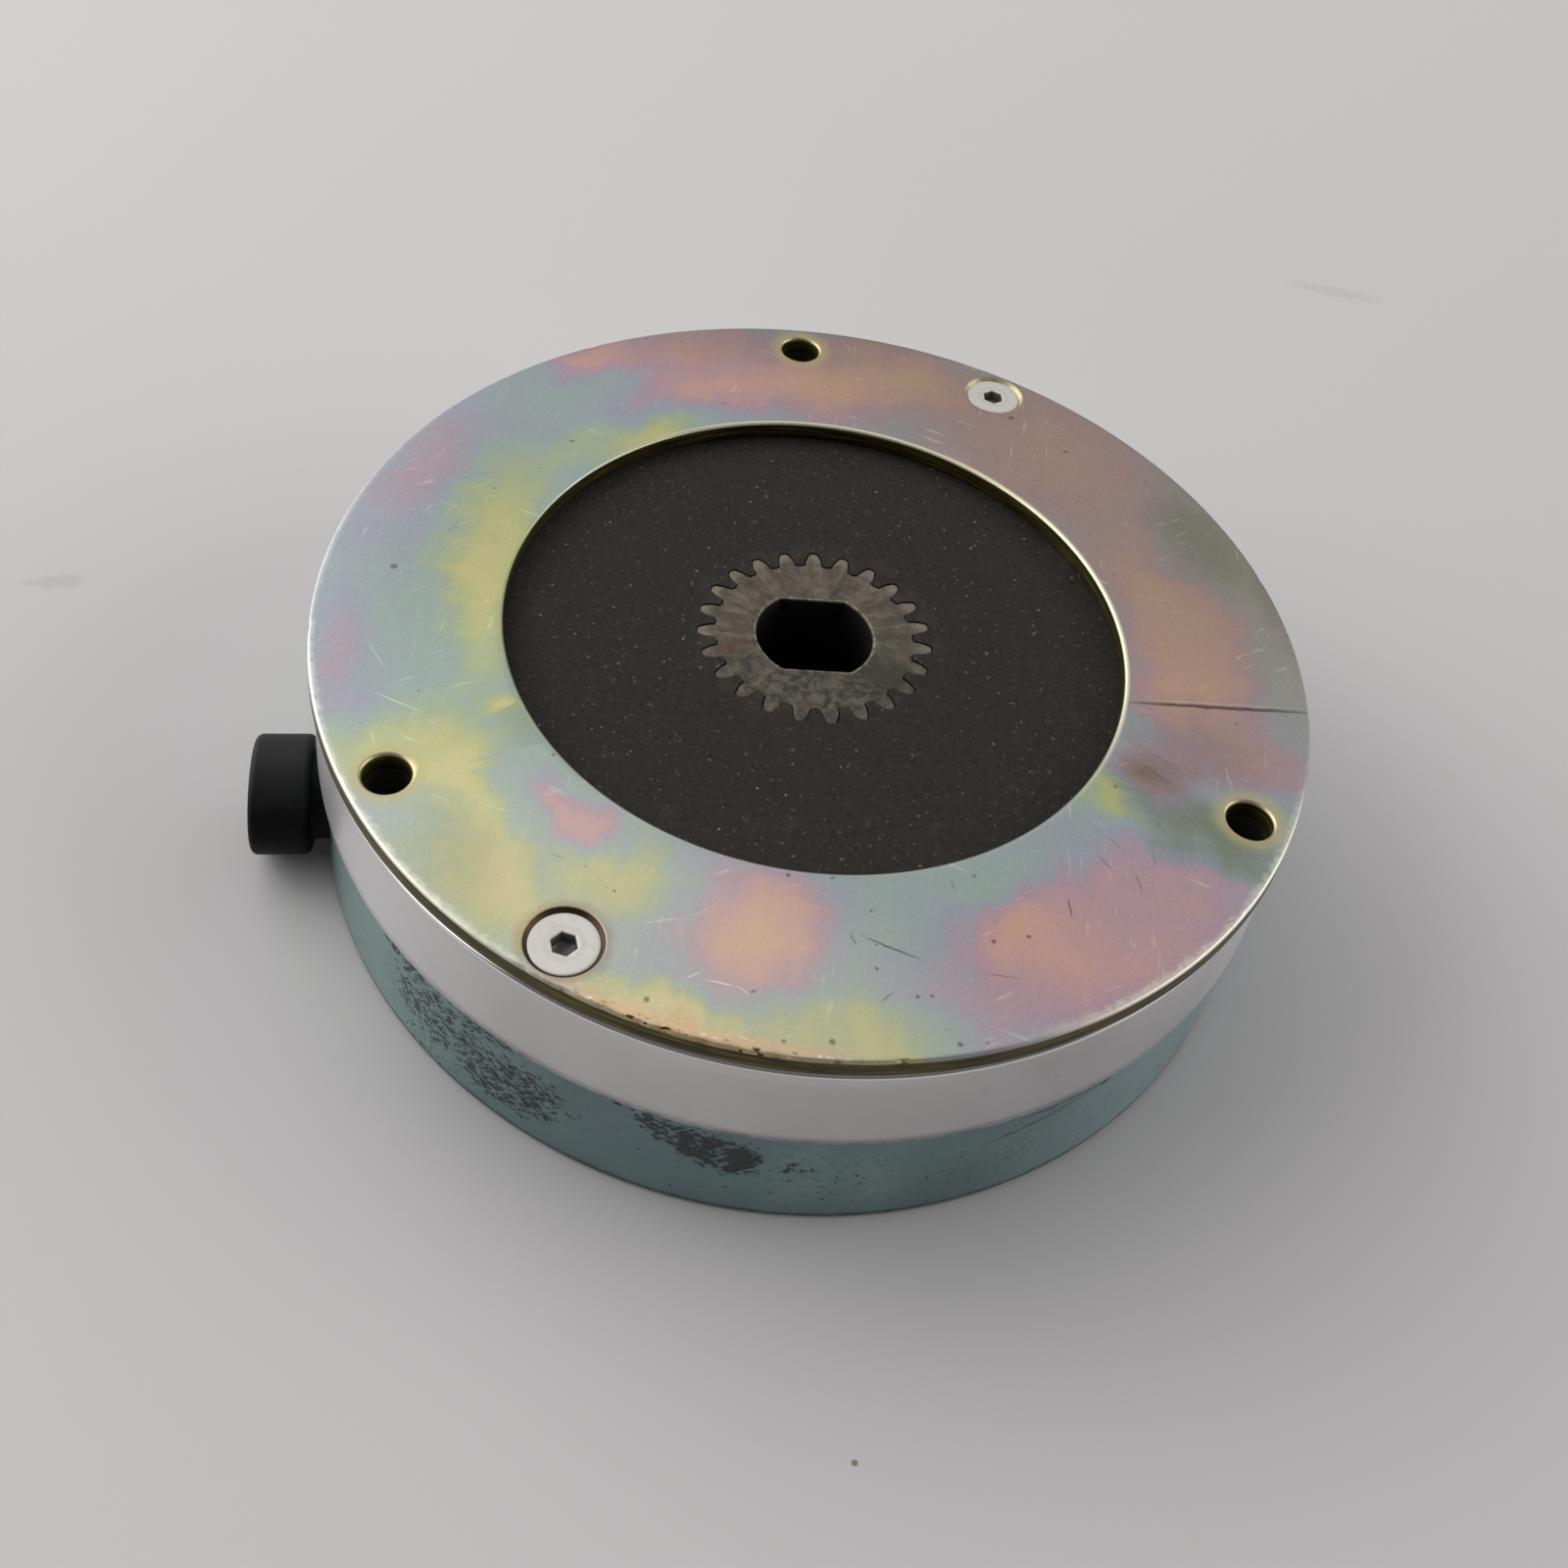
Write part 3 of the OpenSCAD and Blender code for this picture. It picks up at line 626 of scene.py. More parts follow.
def satin_band():
    """Rolled and polished sheet: satin silver with faint lines round the band and a mirror-like edge,
    whitened in part as a painted highlight, with painted highlights on its ends and a painted shadow along
    its foot.
    """
    m = Finish("satin_band")
    place = m.place()
    y, z = place.axes()[1:]
    lines = m.noise(m.squeezed(place, (0.06, 0.06, 3.0)), 1.0, detail=3)
    smear = m.noise(place, 0.09, detail=3)
    colour = m.tint(smear, linear(200, 198, 197), linear(222, 221, 221))
    dirt = m.noise(m.squeezed(place, (0.5, 0.5, 1.5)), 0.5, detail=4, rough=0.65)
    colour = m.tint(dirt.rise(0.64, 0.78) * 0.3, colour, linear(150, 142, 134))
    flecks = m.noise(place, 1.4, detail=2).rise(0.76, 0.80)
    colour = m.tint(flecks * 0.6, colour, linear(96, 92, 90))
    # Painted shadow along the band's lower edge, broken by noise
    foot = z.rise(BAND_FOOT + 0.65, BAND_FOOT + 0.2) * m.noise(place, 0.7, detail=3).rise(0.42, 0.62)
    colour = m.tint(foot * 0.5, colour, linear(78, 76, 74))
    # Painted highlight: the band's left and right ends, towards the front, are whitened
    facing = y / m.reach(place)
    ends = facing.rise(-0.93, -0.55) * facing.rise(0.1, -0.3)
    colour = m.tint(ends * 0.7, colour, linear(250, 250, 250))
    # The polished rolled edge is whitened, which is partly a painted highlight
    edge = z.rise(BAND_TOP - 0.50, BAND_TOP - 0.40)
    rough = 0.27 + smear * 0.12 + lines * 0.05
    return m.surface(
        Base_Color=m.tint(edge, colour, linear(248, 247, 246)),
        Metallic=0.95,
        Roughness=m.blend(edge, rough, 0.08),
        Normal=m.bump(lines * m.blend(edge, 1.0, 0.1), 0.00001, 0.4),
    )


def friction_lining():
    """Moulded friction lining: charcoal with fine pale and rusty grains, dusty near the hub."""
    m = Finish("friction_lining")
    place = m.place()
    reach = m.reach(place)
    cloud = m.noise(place, 0.12, detail=4)
    grain = m.noise(place, 1.8, detail=5, rough=0.72)
    colour = m.tint(grain.rise(0.3, 0.7), linear(20, 19, 17), linear(43, 41, 37))
    colour = m.tint(cloud * 0.35, colour, linear(44, 40, 35))
    smudge = m.noise(place, 0.22, detail=5, rough=0.7).rise(0.56, 0.74)
    colour = m.tint(smudge * 0.4, colour, linear(62, 58, 50))
    dust = reach.rise(18.0, 12.0) * m.noise(place, 0.35, detail=4).rise(0.42, 0.7)
    colour = m.tint(dust * 0.35, colour, linear(74, 68, 58))
    for scale, size, share in ((0.95, 0.2, 0.50), (0.5, 0.13, 0.56), (1.9, 0.26, 0.55)):
        specks = m.cells(place, scale).rise(size, size * 0.5)
        keep = m.noise(place, 0.9, detail=1).rise(share, share + 0.08)
        red = m.cells(place, scale, out="Color").axes()[0]
        speck = m.ramp(
            red,
            (0.0, linear(74, 58, 34)),
            (0.45, linear(112, 88, 52)),
            (0.8, linear(126, 118, 100)),
            (1.0, linear(170, 164, 150)),
        )
        colour = m.tint(specks * keep * 0.55, colour, speck)
    return m.surface(
        Base_Color=colour,
        Roughness=0.8 - grain * 0.15,
        Specular_IOR_Level=0.25,
        Normal=m.bump(grain, 0.00007, 0.7),
    )


def hub_steel():
    """Sintered steel of the hub: brown-grey with streaks out of the bore, paler tips, dust and dark dirt, and
    a bore painted black as shade.
    """
    m = Finish("sintered_hub")
    place = m.place()
    x, y, z = place.axes()
    reach = m.reach(place)
    turn = m.node("ShaderNodeMath", {"operation": "ARCTAN2"}, {0: x, 1: y * -1.0})
    rays = m.node("ShaderNodeCombineXYZ", {}, {0: turn * 11.0, 1: reach * 0.16, 2: 0.0})
    mottle = m.noise(place, 0.55, detail=5, rough=0.65)
    streaks = m.noise(rays, 0.9, detail=4, rough=0.65)
    colour = m.ramp(
        mottle * 0.55 + streaks * 0.45,
        (0.30, linear(44, 39, 32)),
        (0.48, linear(82, 74, 63)),
        (0.62, linear(112, 103, 90)),
        (0.78, linear(140, 131, 118)),
    )
    # The front is dusty: lower in contrast, greyer and darker, with olive dirt to the right
    front = (y + m.noise(place, 0.25, detail=3) * 8.0).rise(5.5, -3.5)
    crumbs = m.noise(place, 0.8, detail=5, rough=0.75, distortion=0.6)
    dust = m.tint(crumbs.rise(0.38, 0.64), linear(26, 25, 18), linear(98, 92, 78))
    colour = m.tint(front * 0.82, colour, dust)
    olive = m.mapped(place, (8.6, -6.2, HUB_TOP), -30, (5.5, 3.0, 30.0)).length() + (crumbs - 0.5) * 1.6
    colour = m.tint(olive.rise(1.4, 0.4) * 0.7, colour, linear(44, 44, 30))
    olive = m.mapped(place, (11.0, -1.5, HUB_TOP), 80, (5.5, 3.4, 30.0)).length() + (crumbs - 0.5) * 1.6
    colour = m.tint(olive.rise(1.4, 0.4) * 0.35, colour, linear(66, 68, 48))
    rust = m.mapped(place, (-10.0, -3.2, HUB_TOP), 40, (2.2, 1.3, 30.0)).length() + (crumbs - 0.5)
    colour = m.tint(rust.rise(1.3, 0.3) * 0.45, colour, linear(98, 62, 44))
    tips = (reach + (mottle - 0.5) * 1.5).rise(12.3, 13.4)
    colour = m.tint(tips * (0.5 - front * 0.38), colour, linear(138, 132, 118))
    # Thin pale line round the bore's edge, and painted shade that makes the bore black
    across = m.node("ShaderNodeMath", {"operation": "ABSOLUTE"}, {0: y})
    bore_edge = reach.rise(SHAFT_R + 0.42, SHAFT_R + 0.18)
    flat_edge = reach.rise(SHAFT_R + 0.3, SHAFT_R + 0.1) * across.rise(SHAFT_FLAT + 0.36, SHAFT_FLAT + 0.14)
    rim = (bore_edge * across.rise(SHAFT_FLAT + 0.3, SHAFT_FLAT + 0.1)).most(flat_edge)
    colour = m.tint(rim * m.noise(rays, 0.8, detail=2).rise(0.35, 0.6) * 0.6, colour, linear(158, 150, 136))
    inside = z.rise(HUB_TOP - 0.12, HUB_TOP - 0.35) * reach.rise(SHAFT_R + 0.2, SHAFT_R + 0.05)
    colour = m.tint(inside, colour, linear(9, 9, 8))
    return m.surface(
        Base_Color=colour,
        Metallic=0.3,
        Roughness=0.5 + mottle * 0.15,
        Normal=m.bump(mottle * 0.6 + streaks * 0.5 + crumbs * front * 0.8, 0.00012, 0.7),
    )


def screw_zinc():
    """Bright zinc of the screws: near-white heads, a faint ring round the socket, and sockets painted dark as
    shade.
    """
    m = Finish("screw_zinc")
    place = m.place()
    z = place.axes()[2]
    grain = m.noise(place, 1.5, detail=4, rough=0.6)
    colour = m.tint(grain, linear(236, 233, 228), linear(252, 250, 246))
    smut = m.noise(place, 0.9, detail=3).rise(0.56, 0.72)
    colour = m.tint(smut * 0.15, colour, linear(170, 165, 156))
    rough = 0.34 + (grain - 0.5) * 0.15
    for angle, stain in zip(SCREW_ANGLES, (0.12, 0.0)):
        away = m.from_bolt(place, angle)
        ring = away.rise(1.55, 1.8) * away.rise(2.35, 2.05)
        colour = m.tint(ring * 0.15, colour, linear(150, 148, 144))
        colour = m.tint(away.rise(3.5, 3.68) * 0.35, colour, linear(120, 106, 88))
        colour = m.tint(away.rise(4.5, 4.4) * stain, colour, linear(168, 166, 156))
        # Painted shade: the hex sockets are darkened
        socket = away.rise(1.5, 1.4) * z.rise(HEAD_TOP - 0.06, HEAD_TOP - 0.3)
        colour = m.tint(socket, colour, m.tint(grain, linear(22, 21, 20), linear(92, 90, 86)))
        rough = m.blend(socket, rough, 0.3)
    shank = z.rise(HEAD_TOP - 0.16, HEAD_TOP - 0.3)
    colour = m.tint(shank * 0.4, colour, linear(150, 146, 138))
    return m.surface(
        Base_Color=colour,
        Metallic=0.2,
        Roughness=rough,
        Normal=m.bump(grain, 0.00002, 0.5),
    )


def plain_metal(name, dark, light, rough, grain_scale):
    """Metal with two tones of fine grain."""
    m = Finish(name)
    place = m.place()
    grain = m.noise(place, grain_scale, detail=4, rough=0.6)
    return m.surface(
        Base_Color=m.tint(grain, dark, light),
        Metallic=0.9,
        Roughness=rough + (grain - 0.5) * 0.15,
        Normal=m.bump(grain, 0.00002, 0.5),
    )


def moulded(name, dark, light, rough, grain_scale):
    """Moulded or cast plastic with a fine skin."""
    m = Finish(name)
    place = m.place()
    skin = m.noise(place, grain_scale, detail=4, rough=0.6)
    cloud = m.noise(place, 0.15, detail=3)
    return m.surface(
        Base_Color=m.tint(cloud, dark, light),
        Roughness=rough + (skin - 0.5) * 0.12,
        Normal=m.bump(skin, 0.00003, 0.5),
    )


def inlet_plastic():
    """Black moulded nylon of the inlet, paler on its upper side as a painted sheen."""
    m = Finish("black_plastic")
    place = m.place()
    skin = m.noise(place, 6.0, detail=4, rough=0.6)
    # Painted sheen: the colour is paler higher up
    height = place.axes()[2] + (m.noise(place, 0.4, detail=4) - 0.5) * 3.0
    return m.surface(
        Base_Color=m.tint(height.rise(9.0, 14.0), linear(2, 3, 3), linear(38, 39, 40)),
        Roughness=0.5 + (skin - 0.5) * 0.12,
        Specular_IOR_Level=0.12,
        Normal=m.bump(skin, 0.00003, 0.5),
    )


def wound_copper():
    """Enamelled wire in layers: rounded ridges one above the other."""
    m = Finish("enamelled_wire")
    place = m.place()
    sockets = {"Vector": place, "Scale": 0.35, "Distortion": 0.4}
    turns = m.node("ShaderNodeTexWave", {"bands_direction": "Z"}, sockets)
    colour = m.tint(turns, linear(110, 52, 24), linear(204, 122, 70))
    return m.surface(
        Base_Color=colour,
        Metallic=0.8,
        Roughness=0.3,
        Normal=m.bump(turns, 0.0002, 0.8),
    )


FINISHES = {
    "yellow_zinc": zinc_film(),
    "blue_zinc": worn_zinc(),
    "bright_band": satin_band(),
    "screw_steel": screw_zinc(),
    "friction": friction_lining(),
    "hub_steel": hub_steel(),
    "bare_steel": plain_metal("ground_steel", linear(128, 127, 126), linear(168, 167, 165), 0.35, 2.0),
    "spring_steel": plain_metal("spring_wire", linear(96, 97, 100), linear(140, 141, 146), 0.3, 2.0),
    "black_plastic": inlet_plastic(),
    "bobbin_plastic": moulded("natural_nylon", linear(206, 198, 176), linear(222, 216, 198), 0.5, 4.0),
    "copper": wound_copper(),
    "resin": moulded("cast_resin", linear(34, 34, 36), linear(48, 48, 50), 0.25, 0.8),
    "contact_metal": plain_metal("contact_metal", linear(186, 160, 96), linear(214, 190, 124), 0.28, 2.5),
    "seal_rubber": moulded("seal_rubber", linear(24, 24, 24), linear(36, 36, 36), 0.6, 3.0),
    "lead_insulation": moulded("lead_insulation", linear(140, 28, 22), linear(166, 40, 32), 0.4, 3.0),
}


def finish_nodes():
    """Gives every carried-over CAD node the finish of the slot it was packed with."""
    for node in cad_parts.values():
        for slot in node.material_slots:
            slot.material = FINISHES[slot.material.name.split(".")[0]]


finish_nodes()


def sheet_faces(rows, columns, wrap_rows=False, wrap_columns=False):
    """Corner numbers of the quads of a grid of rows * columns points, closed on itself where asked."""
    row = np.arange(rows if wrap_rows else rows - 1)[:, None]
    column = np.arange(columns if wrap_columns else columns - 1)[None, :]
    next_row = (row + 1) % rows
    next_column = (column + 1) % columns
    corners = (
        row * columns + column,
        row * columns + next_column,
        next_row * columns + next_column,
        next_row * columns + column,
    )
    return np.stack(corners, -1).reshape(-1, 4)


def make_piece(name, sheets, body, nodes, slot_name, sharp=40):
    """Joins grids of points in millimetres into one closed mesh that stands for CAD nodes.
    A sheet is (points, wraps over its rows, wraps over its columns); its points are rows * columns * 3."""
    points, faces, first = [], [], 0
    for grid, wrap_rows, wrap_columns in sheets:
        rows, columns = grid.shape[:2]
        points.append(grid.reshape(-1, 3))
        faces.append(sheet_faces(rows, columns, wrap_rows, wrap_columns) + first)
        first += rows * columns
    mesh = bpy.data.meshes.new(name)
    mesh.from_pydata((np.concatenate(points) * MM).tolist(), [], np.concatenate(faces).tolist())
    shell = bmesh.new()
    shell.from_mesh(mesh)
    bmesh.ops.remove_doubles(shell, verts=shell.verts, dist=0.0000005)
    bmesh.ops.dissolve_degenerate(shell, edges=shell.edges, dist=0.0000002)
    bmesh.ops.recalc_face_normals(shell, faces=shell.faces)
    shell.to_mesh(mesh)
    shell.free()
    mesh.polygons.foreach_set("use_smooth", np.ones(len(mesh.polygons), bool))
    mesh.set_sharp_from_angle(angle=math.radians(sharp))
    mesh.materials.append(FINISHES[slot_name])
    piece = bpy.data.objects.new(name, mesh)
    bpy.context.scene.collection.objects.link(piece)
    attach(piece, body)
    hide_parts(*nodes)
    return piece


def around(radius, turn, height):
    """Points at radii, angles in radians and heights, broadcast together."""
    radius, turn, height = np.broadcast_arrays(radius, turn, height)
    return np.stack([radius * np.cos(turn), radius * np.sin(turn), height], -1)


# Half angle of the patch round a hole and step round the plate in degrees, and the rings of its flat sides
PATCH_HALF = 5.0
STEP = 0.5
RING_BREAK = 49.5
INNER_RINGS = np.linspace(WINDOW_R + PLATE_EDGE_R, RING_BREAK, 18)
OUTER_RINGS = np.linspace(RING_BREAK + 0.6, PLATE_R - PLATE_EDGE_R, 15)
RADII = np.concatenate([INNER_RINGS, OUTER_RINGS])

# Nicks along the plate's top edge: angle in degrees, half width and depth in millimetres
NICKS = (
    (275.4, 0.35, 0.42),
    (238.5, 0.5, 0.12),
    (243.2, 0.4, 0.15),
    (247.0, 0.6, 0.12),
    (250.4, 0.3, 0.18),
    (253.1, 0.8, 0.14),
    (256.5, 0.35, 0.2),
    (259.2, 0.5, 0.1),
    (263.5, 0.4, 0.12),
    (318.0, 0.5, 0.15),
    (341.0, 0.4, 0.12),
    (12.0, 0.5, 0.1),
    (120.0, 0.6, 0.12),
    (186.0, 0.5, 0.1),
)


def waves(x, y):
    """Faint waviness of a stamped plate in millimetres: a sum of long sine waves across each other."""
    long_waves = 0.012 * np.sin(0.11 * x + 1.3) * np.sin(0.13 * y + 0.4)
    short_waves = 0.004 * np.sin(0.37 * x - 0.21 * y) + 0.003 * np.sin(0.16 * x + 0.44 * y + 2.0)
    return long_waves + short_waves


def edge_loss(turn):
    """Depth of wear along the plate's edge: depth * exp(-(distance / half width) ** 2) for each nick, and a
    fine ragged stretch at the front left."""
    degrees = np.degrees(turn) % 360
    loss = np.zeros_like(degrees)
    for angle, half, depth in NICKS:
        away = (degrees - angle) * math.pi / 180 * PLATE_R / half
        loss = loss + depth * np.exp(-away * away)
    stretch = np.exp(-(((degrees - 250) / 12) ** 4))
    ragged = np.abs(np.sin(3.1 * degrees) * np.sin(7.7 * degrees + 1.0) * np.sin(1.3 * degrees))
    return loss + 0.13 * stretch * ragged


def turns_between(start, stop):
    """Angles in radians from start to stop, both in degrees, at about the plate's step."""
    return np.radians(np.linspace(start, stop, int(round((stop - start) / STEP)) + 1) % 360)


def patch_border(angle, height):
    """Closed border of the patch round a hole: inner arc, right side, outer arc and left side."""
    turns = turns_between(angle - PATCH_HALF, angle + PATCH_HALF)
    inner = around(RADII[0], turns, height)
    outer = around(RADII[-1], turns[::-1], height)
    right = around(RADII[1:-1], turns[-1], height)
    left = around(RADII[-2:0:-1], turns[0], height)
    return np.concatenate([inner, right, outer, left])


def hole_loop(angle, radius, height):
    """Circle of a hole: centre + radius * direction, through the same directions as the patch round it."""
    centre = np.array(polar(angle, BOLT_R, height))
    flat = patch_border(angle, height) - centre
    return centre + flat / np.linalg.norm(flat, axis=1, keepdims=True) * radius


def plate_face(height, hole_r, screw_r, relief):
    """One flat side of the plate: plain sectors on a polar grid, and round each hole a patch whose rings
    run in straight lines from the border of a sector to the circle of the hole."""
    sheets = []
    holes = sorted([(a, hole_r) for a in HOLE_ANGLES] + [(a, screw_r) for a in SCREW_ANGLES])
    for i, (angle, radius) in enumerate(holes):
        after = holes[(i + 1) % len(holes)][0]
        if after < angle:
            after += 360
        turns = turns_between(angle + PATCH_HALF, after - PATCH_HALF)
        sector = around(RADII[:, None], turns[None, :], height)
        sector[..., 2] += relief * waves(sector[..., 0], sector[..., 1])
        sheets.append((sector, False, False))
        border = patch_border(angle, height)
        border[:, 2] += relief * waves(border[:, 0], border[:, 1])
        circle = hole_loop(angle, radius, height)
        share = np.array([0, 0.3, 0.55, 0.75, 0.88, 0.96, 1.0])[:, None, None]
        sheets.append((border + (circle - border) * share, False, True))
    return sheets


def make_plate():
    """The end plate: two flat sides, the walls of its holes, and edges rounded by r + e * sin(a) and
    z + e * cos(a), which are carried round and cut back along their own normals by the wear."""
    sheets = plate_face(PLATE_TOP, MOUNT_HOLE_R + HOLE_CHAMFER, COUNTERSINK_R, 1.0)
    sheets += plate_face(PLATE_UNDER, MOUNT_HOLE_R, SCREW_HOLE_R, 0.0)
    mount_wall = (
        (MOUNT_HOLE_R + HOLE_CHAMFER, PLATE_TOP),
        (MOUNT_HOLE_R + 0.12, PLATE_TOP - 0.13),
        (MOUNT_HOLE_R, PLATE_TOP - HOLE_CHAMFER),
        (MOUNT_HOLE_R, PLATE_TOP - 1.2),
        (MOUNT_HOLE_R, PLATE_UNDER),
    )
    sink_wall = (
        (COUNTERSINK_R, PLATE_TOP),
        (COUNTERSINK_R - 0.08, PLATE_TOP - 0.04),
        (SCREW_HOLE_R, PLATE_TOP - (COUNTERSINK_R - SCREW_HOLE_R)),
        (SCREW_HOLE_R, PLATE_UNDER),
    )
    for angles, wall in ((HOLE_ANGLES, mount_wall), (SCREW_ANGLES, sink_wall)):
        for angle in angles:
            sheets.append((np.stack([hole_loop(angle, r, z) for r, z in wall]), False, True))
    turns = np.radians(np.arange(0, 360, STEP))
    lean = np.radians(np.linspace(0, 90, 7))[:, None]
    high, low = PLATE_TOP - PLATE_EDGE_R, PLATE_UNDER + PLATE_EDGE_R

    def ring(radius, height, wavy=False):
        """Adds a sheet carried round the axis, whose first row follows the plate's waves if it is wavy."""
        grid = around(radius, turns[None, :], height)
        if wavy:
            grid[0, :, 2] += waves(grid[0, :, 0], grid[0, :, 1])
        sheets.append((grid, False, True))

    worn = PLATE_EDGE_R - edge_loss(turns)[None, :] * np.sin(2 * lean)
    back = PLATE_EDGE_R * (1 - np.sin(lean))
    drop = PLATE_EDGE_R * (1 - np.cos(lean))
    ring(PLATE_R - PLATE_EDGE_R + worn * np.sin(lean), high + worn * np.cos(lean), wavy=True)
    ring(PLATE_R, np.linspace(high, low, 4)[:, None])
    ring(PLATE_R - back[::-1], PLATE_UNDER + drop[::-1])
    ring(WINDOW_R + back, PLATE_TOP - drop, wavy=True)
    ring(WINDOW_R, np.linspace(high, low, 3)[:, None])
    ring(WINDOW_R + back[::-1], PLATE_UNDER + drop[::-1])
    plate = make_piece("plate_with_worn_edge", sheets, "stator", ["end_plate"], "yellow_zinc")
    points = np.empty(len(plate.data.vertices) * 3, np.float32)
    plate.data.vertices.foreach_get("co", points)
    x, y = points[0::3] / MM, points[1::3] / MM
    for name, values in (("film_order", film_order(x, y)), ("dullness", dullness(x, y))):
        plate.data.attributes.new(name, "FLOAT", "POINT").data.foreach_set("value", values.astype(np.float32))


def tooth_outline():
    """Outline of the hub: for each tooth, involute flanks from valley to tip with half angle
    90/teeth + inv(pitch) - inv(r) degrees, and a round tip from one flank over to the other."""
    pitch_r = TOOTH_MODULE * HUB_TEETH / 2
    base_r = pitch_r * math.cos(math.radians(20))
    root_r = pitch_r - 1.05 * TOOTH_MODULE
    low_r, high_r, tip = root_r + 0.2, pitch_r + TOOTH_MODULE - 0.45, 0.45

    def involute(r):
        """Involute of a radius: tan(a) - a, where cos(a) is base radius over radius."""
        a = np.arccos(np.minimum(1, base_r / np.maximum(r, base_r)))
        return np.tan(a) - a

    def half(r):
        """Half angle of a tooth at a radius."""
        return math.pi / 2 / HUB_TEETH + involute(np.array(pitch_r)) - involute(r)

    flank = np.linspace(low_r, high_r, 8)[:-1]
    turn = np.linspace(0, math.pi, 7)
    radius = np.concatenate([[root_r], flank, high_r + tip * np.sin(turn), flank[::-1]])
    over = -half(high_r) * np.cos(turn)
    angle = np.concatenate([[-math.pi / HUB_TEETH], -half(flank), over, half(flank[::-1])])
    centres = np.radians(TOOTH_PHASE) + np.arange(HUB_TEETH) * 2 * math.pi / HUB_TEETH
    return np.tile(radius, HUB_TEETH), (centres[:, None] + angle[None, :]).ravel()


def make_band():
    """The cover band: one closed profile carried round, straight inside and below, rolled over outside at
    the top on a quarter circle; its outer radius wanders as r + 0.03 sin(3a) + 0.02 sin(7a + 1)."""
    lean = np.radians(np.linspace(90, 0, 9))
    corner_r = BAND_OUTER_R - BAND_ROLL_R
    corner_z = BAND_TOP - BAND_ROLL_R
    profile = [(BAND_INNER_R, BAND_FOOT), (BAND_OUTER_R - 0.1, BAND_FOOT), (BAND_OUTER_R, BAND_FOOT + 0.1)]
    profile += [(BAND_OUTER_R, z) for z in np.linspace(BAND_FOOT + 1.5, corner_z - 1.5, 6)]
    roll = [(math.sin(a), math.cos(a)) for a in lean]
    profile += [(corner_r + BAND_ROLL_R * out, corner_z + BAND_ROLL_R * up) for out, up in roll]
    profile += [(BAND_INNER_R, BAND_TOP), (BAND_INNER_R, BAND_FOOT + 6.0)]
    turn = np.radians(np.arange(0, 360, 1.0))
    wander = 0.03 * np.sin(3 * turn) + 0.02 * np.sin(7 * turn + 1)
    rings = []
    for r, z in profile:
        is_outside = r > BAND_OUTER_R - 0.2 and z < corner_z + 0.01
        rings.append(around(r + wander * is_outside, turn, z))
    make_piece("rolled_band", [(np.stack(rings), True, True)], "stator", ["cover_band"], "bright_band", 50)


def make_hub():
    """The hub: its toothed outline, rounded over at both ends by moving it inwards along its own normals,
    and faces of rings that go from that outline to the double-D bore in the same directions."""
    radius, turn = tooth_outline()
    line = np.stack([radius * np.cos(turn), radius * np.sin(turn)], -1)
    along = np.roll(line, -1, 0) - np.roll(line, 1, 0)
    along /= np.linalg.norm(along, axis=1, keepdims=True)
    inwards = np.stack([-along[:, 1], along[:, 0]], -1)
    bore_r = np.minimum(SHAFT_R, SHAFT_FLAT / np.maximum(np.abs(np.sin(turn)), 0.01))
    bore = np.stack([bore_r * np.cos(turn), bore_r * np.sin(turn)], -1)
    unit = bore / bore_r[:, None]

    def loop(flat, height):
        """Points of an outline at a height."""
        return np.concatenate([flat, np.full((len(flat), 1), 1.0) * height], 1)

    def end(top, inner_z, sign):
        """Rings of one end from the side's edge to the bore's wall."""
        rings = []
        for lean in np.radians(np.linspace(90, 0, 5)):
            step = 0.16 * (1 - math.sin(lean))
            drop = 0.16 * (1 - math.cos(lean))
            rings.append(loop(line + inwards * step, top - sign * drop))
        face_out = line + inwards * 0.16
        face_in = bore + unit * 0.2
        for share in (0.12, 0.3, 0.5, 0.7, 0.88, 1.0):
            flat = face_out + (face_in - face_out) * share
            ripple = 0.02 * np.sin(1.9 * flat[:, 0] + 0.7) * np.sin(2.3 * flat[:, 1]) * (sign > 0)
            rings.append(loop(flat, top + ripple[:, None] * math.sin(math.pi * share)))
        rings.append(loop(bore + unit * 0.05, top - sign * 0.06))
        rings.append(loop(bore, inner_z))
        return rings

    upper = end(HUB_TOP, HUB_TOP - 0.2, 1.0)
    lower = end(HUB_FOOT, HUB_FOOT + 0.2, -1.0)
    grid = np.stack(upper + lower[::-1])
    make_piece("toothed_hub", [(grid, True, True)], "rotor_hub", ["hub"], "hub_steel")


